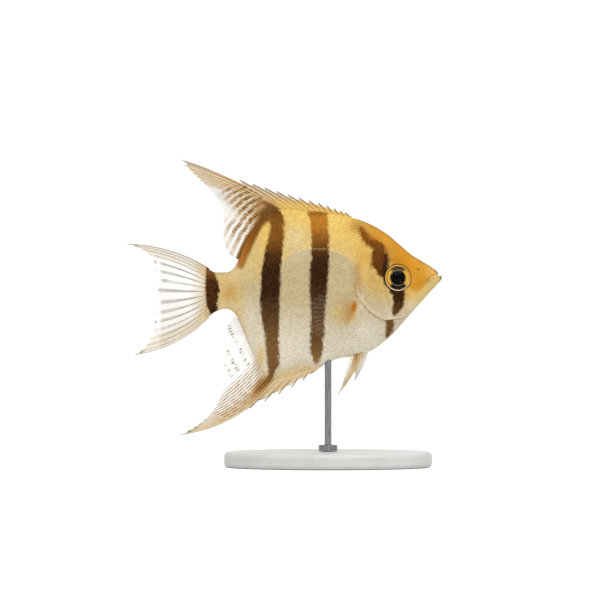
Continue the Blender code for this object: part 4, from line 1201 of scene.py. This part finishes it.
def tailPattern(fin, place, t, distance, points, onRay):
    last = fin["count"] - 1
    across = place / last
    line = 1.0 if onRay else rayLine(place, 0.1 + 0.08 * t)
    lobe = np.clip(ramp(0.27 - across, 0, 0.13) + ramp(across - 0.70, 0, 0.16), 0, 1)
    lower = ramp(across, 0.42, 0.6)
    drawn = ramp(points[..., 0], -54.0, -52.6)
    streak = line * drawn * (0.4 + 0.4 * chance(place, 11 + 0 * place)) * ramp(distance, 1.5, 5.0)
    knots = sum(
        (0.3 + 0.7 * chance(place, at)) * bump(distance - at - 1.3 * (chance(place, at + 2) - 0.5), 0.5)
        for at in tailFin["knotsAt"]
    )
    knots = np.clip(knots * (1 + 0.6 * ramp(distance, 12, 14)), 0, 1)
    knots *= (1.0 if onRay else rayLine(place, 0.2)) * (1 - 0.7 * lobe)
    edge = np.maximum(bump(place, 0.2), 0.5 * bump(place - last, 0.2))
    tip = np.clip(bump(place, 0.8) + bump(place - last, 0.8), 0, 1) * ramp(t, 0.9, 0.98)
    grey = np.maximum.reduce([streak * (1 - 0.6 * lobe), 0.8 * knots, 0.6 * edge, 0.9 * tip])
    fringe = ramp(7.0 - distance, 0, 6.0)
    fine = rayLine(place * 2, 0.25)
    barEdge = 0.75 + 0.5 * chance(place * 3, 2 + 0 * place)  # the tail bar's ragged end on the fin
    bar = ramp(0.62 - across, 0, 0.05) * ramp(barEdge - distance, -0.15, 0.25)
    brown = np.maximum(lobe * 0.16 * line, 0.22 * fine * fringe * ramp(3.0 - distance, -3.0, 2.0))
    brown = np.maximum(brown, bar)
    gold = (0.3 - 0.1 * lower) * fringe
    hem = ramp(across, 0.84, 1)
    tan = (0.26 - 0.1 * hem) * lobe + 0.22 * lower * drawn * (1 - hem)
    tan += 0.3 * fringe * (1 - 0.6 * lower * lobe)
    atRoot = ramp(2.8 - distance, 0, 2.2)
    cover = 0.05 + 0.35 * lobe + 0.14 * lower * drawn + 0.4 * fringe + 0.12 * lobe * line
    cover += 0.6 * tip + 0.3 * edge
    cover = np.maximum.reduce([cover, 0.6 * grey, atRoot, bar])
    if onRay:
        cover = 0.08 + 0.6 * streak + 0.6 * knots + 0.5 * fringe + tip + lobe * (0.35 + ramp(t, 0.7, 0.85))
    return {"brown": brown, "gold": gold, "grey": grey, "tan": tan, "cover": cover}


def breastPattern(fin, place, t, distance, points, onRay):
    line = 1.0 if onRay else rayLine(place, 0.2)
    near = ramp(7.0 - distance, 0, 6.5)
    flesh = ramp(1.2 - distance, 0, 1.2) * (1 - 0.55 * ramp(39.8 - points[..., 2], 0, 2.0))
    cover = 0.012 + 0.02 * line + (0.2 + 0.2 * line) * near + 0.4 * flesh
    if onRay:
        cover = 0.1 + 0.45 * near
    tan = 0.75 + 0 * t if onRay else 0.4 * near
    brown = 0.22 * near * line + 0.3 * flesh
    return {"brown": brown, "gold": near, "grey": 0 * t, "tan": tan, "cover": cover * (1 - 0.5 * t)}


def bellyPattern(fin, place, t, distance, points, onRay):
    line = 1.0 if onRay else rayLine(place, 0.25)
    strong = fin["strong"]
    middle = bump(place - 2.2, 1.2)
    brown = strong * (0.22 * line + 0.42 * middle * ramp(8 - distance, 0, 6))
    tan = strong * 0.9 * ramp(4.2 - place, 0, 2.5) + 0.1
    rim = 1 - 0.5 * np.clip(bump(place, 0.5) + bump(place - (fin["count"] - 1), 0.8), 0, 1)
    cover = (0.25 + 0.45 * tan + 0.15 * line) * rim
    if onRay:
        cover = 0.3 + 0.5 * tan
    gold, grey = 0.35 * tan * (1 - t), 0.3 * ramp(t, 0.6, 1)
    return {"brown": brown, "gold": gold, "grey": grey, "tan": tan, "cover": cover}


finFinish = {
    "clear": "#efe5d4", "tan": "#d9c297", "gold": "#eac46a", "amber": "#b98d50", "brown": "#552e08",
    "grey": "#6f695a", "rayClear": "#f6ead2", "rayRing": "#6b5236", "ringsPerUnit": 11.0, "strength": {},
    "webRoughness": 0.4, "rayRoughness": 0.42, "gloss": 0.08, "lumps": (0.3, 0.00008),
}


def finMaterial(name, isWeb):
    material, tree, shader = newMaterial(name)
    fine, broad = grain(tree, 0.6, 3.0), grain(tree, 2.4, 2.0)
    colour = layers(tree, paint(finFinish["clear" if isWeb else "rayClear"]), finFinish, "tan", "gold")
    uneven = maths(tree, "ADD", mask(tree, "brown"), swing(tree, fine, 0.2))
    colour = blendIn(tree, spread(tree, uneven, 0.0, 0.6), colour, paint(finFinish["amber"]))
    colour = blendIn(tree, spread(tree, uneven, 0.35, 1.05), colour, paint(finFinish["brown"]))
    colour = layers(tree, colour, finFinish, "grey")
    if not isWeb:
        turns = maths(tree, "MULTIPLY", mask(tree, "fromRoot"), finFinish["ringsPerUnit"])
        ring = spread(tree, maths(tree, "SINE", turns), 0.75, 1.0, 0.0, 0.16)
        colour = blendIn(tree, ring, colour, paint(finFinish["rayRing"]))
    cloudy = spread(tree, broad, 0.2, 0.7, 0.88, 1.12)
    plug(tree, shader, {
        "Base Color": colour, "Roughness": finFinish["webRoughness" if isWeb else "rayRoughness"],
        "Alpha": maths(tree, "MULTIPLY", mask(tree, "cover"), cloudy, True),
        "Specular IOR Level": finFinish["gloss"], "Normal": lumps(tree, fine, *finFinish["lumps"]),
    })
    return material


def makeWeb(name, fin, pattern, node):
    # the spiny and the soft part are a closed sheet each, as the first soft ray reaches further out
    spines, last = int(fin["isSpine"].sum()), fin["count"] - 1
    stretches = [(0, spines - 0.0001), (spines, last)] if 0 < spines < last else [(0, last)]
    points, faces, masks, corners, held = [], [], [], [], 0
    for start, stop in stretches:
        steps = round(stop - start) * finBuild["webColumns"]
        places = np.linspace(start, stop, steps + 1)
        place, t = np.meshgrid(places, np.linspace(0, finBuild["webEnd"], fin["rows"]), indexing="ij")
        sheet, distance = finPoint(fin, place, t)
        normal = gridNormals(sheet, False)
        thick = between(finBuild["webThickness"], t)[..., None] / 2
        points += [(sheet + normal * thick).reshape(-1, 3), (sheet - normal * thick).reshape(-1, 3)]
        m, n = place.shape
        made = closedSheet(m, n)
        spots = pattern(fin, place, t, distance, sheet, False)
        masks.append({key: np.tile(np.clip(values, 0, 1).ravel(), 2) for key, values in spots.items()})
        near = np.stack([place / last * 0.48 + 0.01, onMap(t)], axis=-1).reshape(-1, 2)
        far = near + np.array([0.5, 0.0])
        corners.append(np.concatenate([near, far])[made.ravel()])
        faces += (made + held).tolist()
        held += 2 * m * n
    masks = {key: np.concatenate([part[key] for part in masks]) for key in masks[0]}
    web = makePiece(name, np.concatenate(points), faces, webFinish, masks, np.concatenate(corners))
    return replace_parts(web, node)


def makeRays(name, fin, pattern):
    # every soft ray forks twice; each branch is a tapered rod that follows the web
    sides = finBuild["raySides"]
    angle = np.linspace(0, 2 * math.pi, sides, endpoint=False)
    firstFork, secondFork = finBuild["forks"]
    firstSpread, secondSpread = finBuild["forkSpread"]
    firstShare, secondShare = finBuild["forkSlimming"]
    branches = []
    for i in range(fin["count"]):
        if fin["isSpine"][i]:
            branches.append((i, 0.0, 1.0, [(0.0, 0.0)], finBuild["spineThickness"], 1.0))
            continue
        slender = finBuild["rayThickness"]
        branches.append((i, 0.0, firstFork + 0.02, [(0.0, 0.0)], slender, 1.0))
        for way in (-1, 1):
            parting = (firstFork, firstSpread * way)
            branches.append((i, firstFork, secondFork + 0.02, [parting], slender, firstShare))
            for turn in (-1, 1):
                lines = [parting, (secondFork, secondSpread * turn)]
                branches.append((i, secondFork, 1.0, lines, slender, secondShare))
    points, faces, spots, corners = [], [], [], []
    for i, start, stop, lines, thickness, share in branches:
        count = max(6, int((stop - start) * fin["length"][i] / finBuild["rayStep"]))
        t = np.linspace(start, stop, count)
        place = np.full(count, float(i))
        for fork, offset in lines:
            place = place + offset * ramp(t, fork, fork + finBuild["forkLength"]) if fork else place
        place = np.clip(place, 0, fin["count"] - 1)
        if not fin["isSpine"][i] and i and fin["isSpine"][i - 1]:
            place = np.maximum(place, i)
        spine, distance = finPoint(fin, place, t, False)
        along = np.gradient(spine, axis=0)
        along /= np.linalg.norm(along, axis=1, keepdims=True)
        before, behind = (
            finPoint(fin, np.clip(place + step, 0, fin["count"] - 1), t, False)[0] for step in (-0.02, 0.02)
        )
        outwards = np.cross(along, behind - before)
        outwards /= np.maximum(np.linalg.norm(outwards, axis=1, keepdims=True), 1e-9)
        across = np.cross(outwards, along)
        radius = between(thickness, t ** 0.8) * share / 2
        turnAcross, turnOut = np.cos(angle)[None, :, None], np.sin(angle)[None, :, None]
        ring = across[:, None] * turnAcross + outwards[:, None] * turnOut
        first = sum(len(part) for part in points)
        points.append((spine[:, None] + ring * radius[:, None, None]).reshape(-1, 3))
        index = first + np.arange(count * sides).reshape(count, sides)
        faces += tubeQuads(index).tolist() + [index[0][::-1].tolist(), index[-1].tolist()]
        values = pattern(fin, place, t, distance, spine, True)
        values["fromRoot"] = distance
        spots.append({key: np.repeat(np.asarray(value, float), sides) for key, value in values.items()})
        u = (place[:, None] + 0.1 * np.cos(angle)[None]) / fin["count"] * 0.96 + 0.02
        corners.append(np.stack([u, onMap(np.repeat(t[:, None], sides, 1))], axis=-1).reshape(-1, 2))
    masks = {key: np.concatenate([spot[key] for spot in spots]) for key in spots[0]}
    for key in masks:
        if key != "fromRoot":
            masks[key] = np.clip(masks[key], 0, 1)
    flat = np.concatenate(corners)
    order = np.concatenate([np.array(polygon) for polygon in faces])
    return makePiece(name, np.concatenate(points), faces, rayFinish, masks, flat[order])


webFinish, rayFinish = finMaterial("finWeb", True), finMaterial("finRays", False)
fins = [
    ("dorsal", medianFin(dorsalFin, back, finBuild["gapToBody"]), dorsalPattern, "dorsal_fin"),
    ("anal", medianFin(analFin, belly, -finBuild["gapToBody"]), analPattern, "anal_fin"),
    ("tail", caudalFin(tailFin), tailPattern, "caudal_fin"),
    ("breast_right", pectoralFin(breastFin, -1), breastPattern, "pectoral_fin_right"),
    ("breast_left", pectoralFin(breastFin, 1), breastPattern, "pectoral_fin_left"),
    ("belly_right", pelvicFin(bellyFin, -1), bellyPattern, "pelvic_fin_right"),
    ("belly_left", pelvicFin(bellyFin, 1), bellyPattern, "pelvic_fin_left"),
]
for name, fin, pattern, node in fins:
    makeWeb(name + "_web", fin, pattern, node)
    makeRays(name + "_rays", fin, pattern)
print("fins made")


standFinish = {
    "paint": "#cfcfcb", "paintLight": "#d8d8d5", "paintSpeck": "#b9b9b4", "paintLumps": (0.35, 0.00005),
    "steel": "#a9adb0", "steelDark": "#7f8386", "steelLumps": (0.2, 0.00003),
}


def paintedMaterial():
    material, tree, shader = newMaterial("standPaint")
    fine, broad = grain(tree, 0.35, 3.0), grain(tree, 9.0, 2.0)
    patches = spread(tree, broad, 0.3, 0.7)
    colour = blendIn(tree, patches, paint(standFinish["paint"]), paint(standFinish["paintLight"]))
    specks = spread(tree, fine, 0.55, 0.8, 0.0, 0.5)
    colour = blendIn(tree, specks, colour, paint(standFinish["paintSpeck"]))
    plug(tree, shader, {
        "Base Color": colour, "Roughness": spread(tree, fine, 0.3, 0.7, 0.36, 0.5),
        "Normal": lumps(tree, fine, *standFinish["paintLumps"]),
    })
    return material


def steelMaterial():
    material, tree, shader = newMaterial("brushedSteel")
    lines, broad = grain(tree, 0.12, 2.0, (1.0, 1.0, 0.03)), grain(tree, 4.0, 2.0)
    brushed = spread(tree, lines, 0.35, 0.65)
    plug(tree, shader, {
        "Base Color": blendIn(tree, brushed, paint(standFinish["steelDark"]), paint(standFinish["steel"])),
        "Metallic": 1.0, "Roughness": spread(tree, broad, 0.3, 0.7, 0.24, 0.36),
        "Normal": lumps(tree, lines, *standFinish["steelLumps"]),
    })
    return material


steelFinish = steelMaterial()
standFinishes = {"stand_base": paintedMaterial(), "stand_rod": steelFinish, "stand_collar": steelFinish}
for node, finish in standFinishes.items():
    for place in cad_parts[node].material_slots:
        place.material = finish
print("stand finished")


room = {
    "floorRadius": 4.0, "floorSides": 128, "floorColour": (0.74, 0.74, 0.73, 1), "floorGlow": 0.34,
    "skyLight": 0.50, "skySeen": 1.05,
    # towards, strength, softness in degrees
    "lights": {
        "keyLight": ((-0.25, 0.75, -0.75), 1.25, 60.0),
        "topLight": ((0.1, 0.15, -1.0), 1.0, 90.0),
        "backFill": ((0.2, -0.9, -0.35), 0.5, 90.0),
    },
    "lens": 200.0, "sensor": 36.0, "viewWide": 0.1905, "lookX": -0.0089, "lookZ": 0.0531,
}


def addToScene(name, data):
    thing = bpy.data.objects.new(name, data)
    bpy.context.scene.collection.objects.link(thing)
    return thing


def makeFloor():
    angles = np.linspace(0, 2 * math.pi, room["floorSides"], endpoint=False)
    mesh = bpy.data.meshes.new("floor")
    rim = [(room["floorRadius"] * math.cos(a), room["floorRadius"] * math.sin(a), 0.0) for a in angles]
    mesh.from_pydata(rim, [], [tuple(range(room["floorSides"]))])
    material, tree, shader = newMaterial("paleFloor")
    seen = addNode(tree, "ShaderNodeLightPath").outputs["Is Camera Ray"]
    glow = maths(tree, "MULTIPLY", seen, room["floorGlow"])
    plug(tree, shader, {
        "Base Color": room["floorColour"], "Roughness": 0.85, "Specular IOR Level": 0.1,
        "Emission Color": (1, 1, 1, 1), "Emission Strength": glow,
    })
    mesh.materials.append(material)
    addToScene("floor", mesh)


def makeSky():
    world = bpy.data.worlds.new("studio")
    bpy.context.scene.world = world
    world.use_nodes = True
    tree = world.node_tree
    seen = addNode(tree, "ShaderNodeLightPath").outputs["Is Camera Ray"]
    limits = {"Value": seen, "To Min": room["skyLight"], "To Max": room["skySeen"]}
    strength = addNode(tree, "ShaderNodeMapRange", limits).outputs[0]
    plug(tree, tree.nodes["Background"], {"Color": (1, 1, 1, 1), "Strength": strength})


def makeLight(name, towards, strength, softness):
    lamp = bpy.data.lights.new(name, "SUN")
    lamp.energy = strength
    lamp.angle = math.radians(softness)
    addToScene(name, lamp).rotation_euler = Vector(towards).to_track_quat("-Z", "Y").to_euler()


def makeCamera():
    lens = bpy.data.cameras.new("camera")
    lens.lens = room["lens"]
    lens.sensor_width = room["sensor"]
    lens.clip_start = 0.01
    camera = addToScene("camera", lens)
    camera.location = (room["lookX"], -room["viewWide"] * room["lens"] / room["sensor"], room["lookZ"])
    camera.rotation_euler = (math.pi / 2, 0, 0)
    bpy.context.scene.camera = camera


makeFloor()
makeSky()
for name, (towards, strength, softness) in room["lights"].items():
    makeLight(name, towards, strength, softness)
makeCamera()
bpy.context.scene.view_settings.view_transform = "Standard"
print("room made")
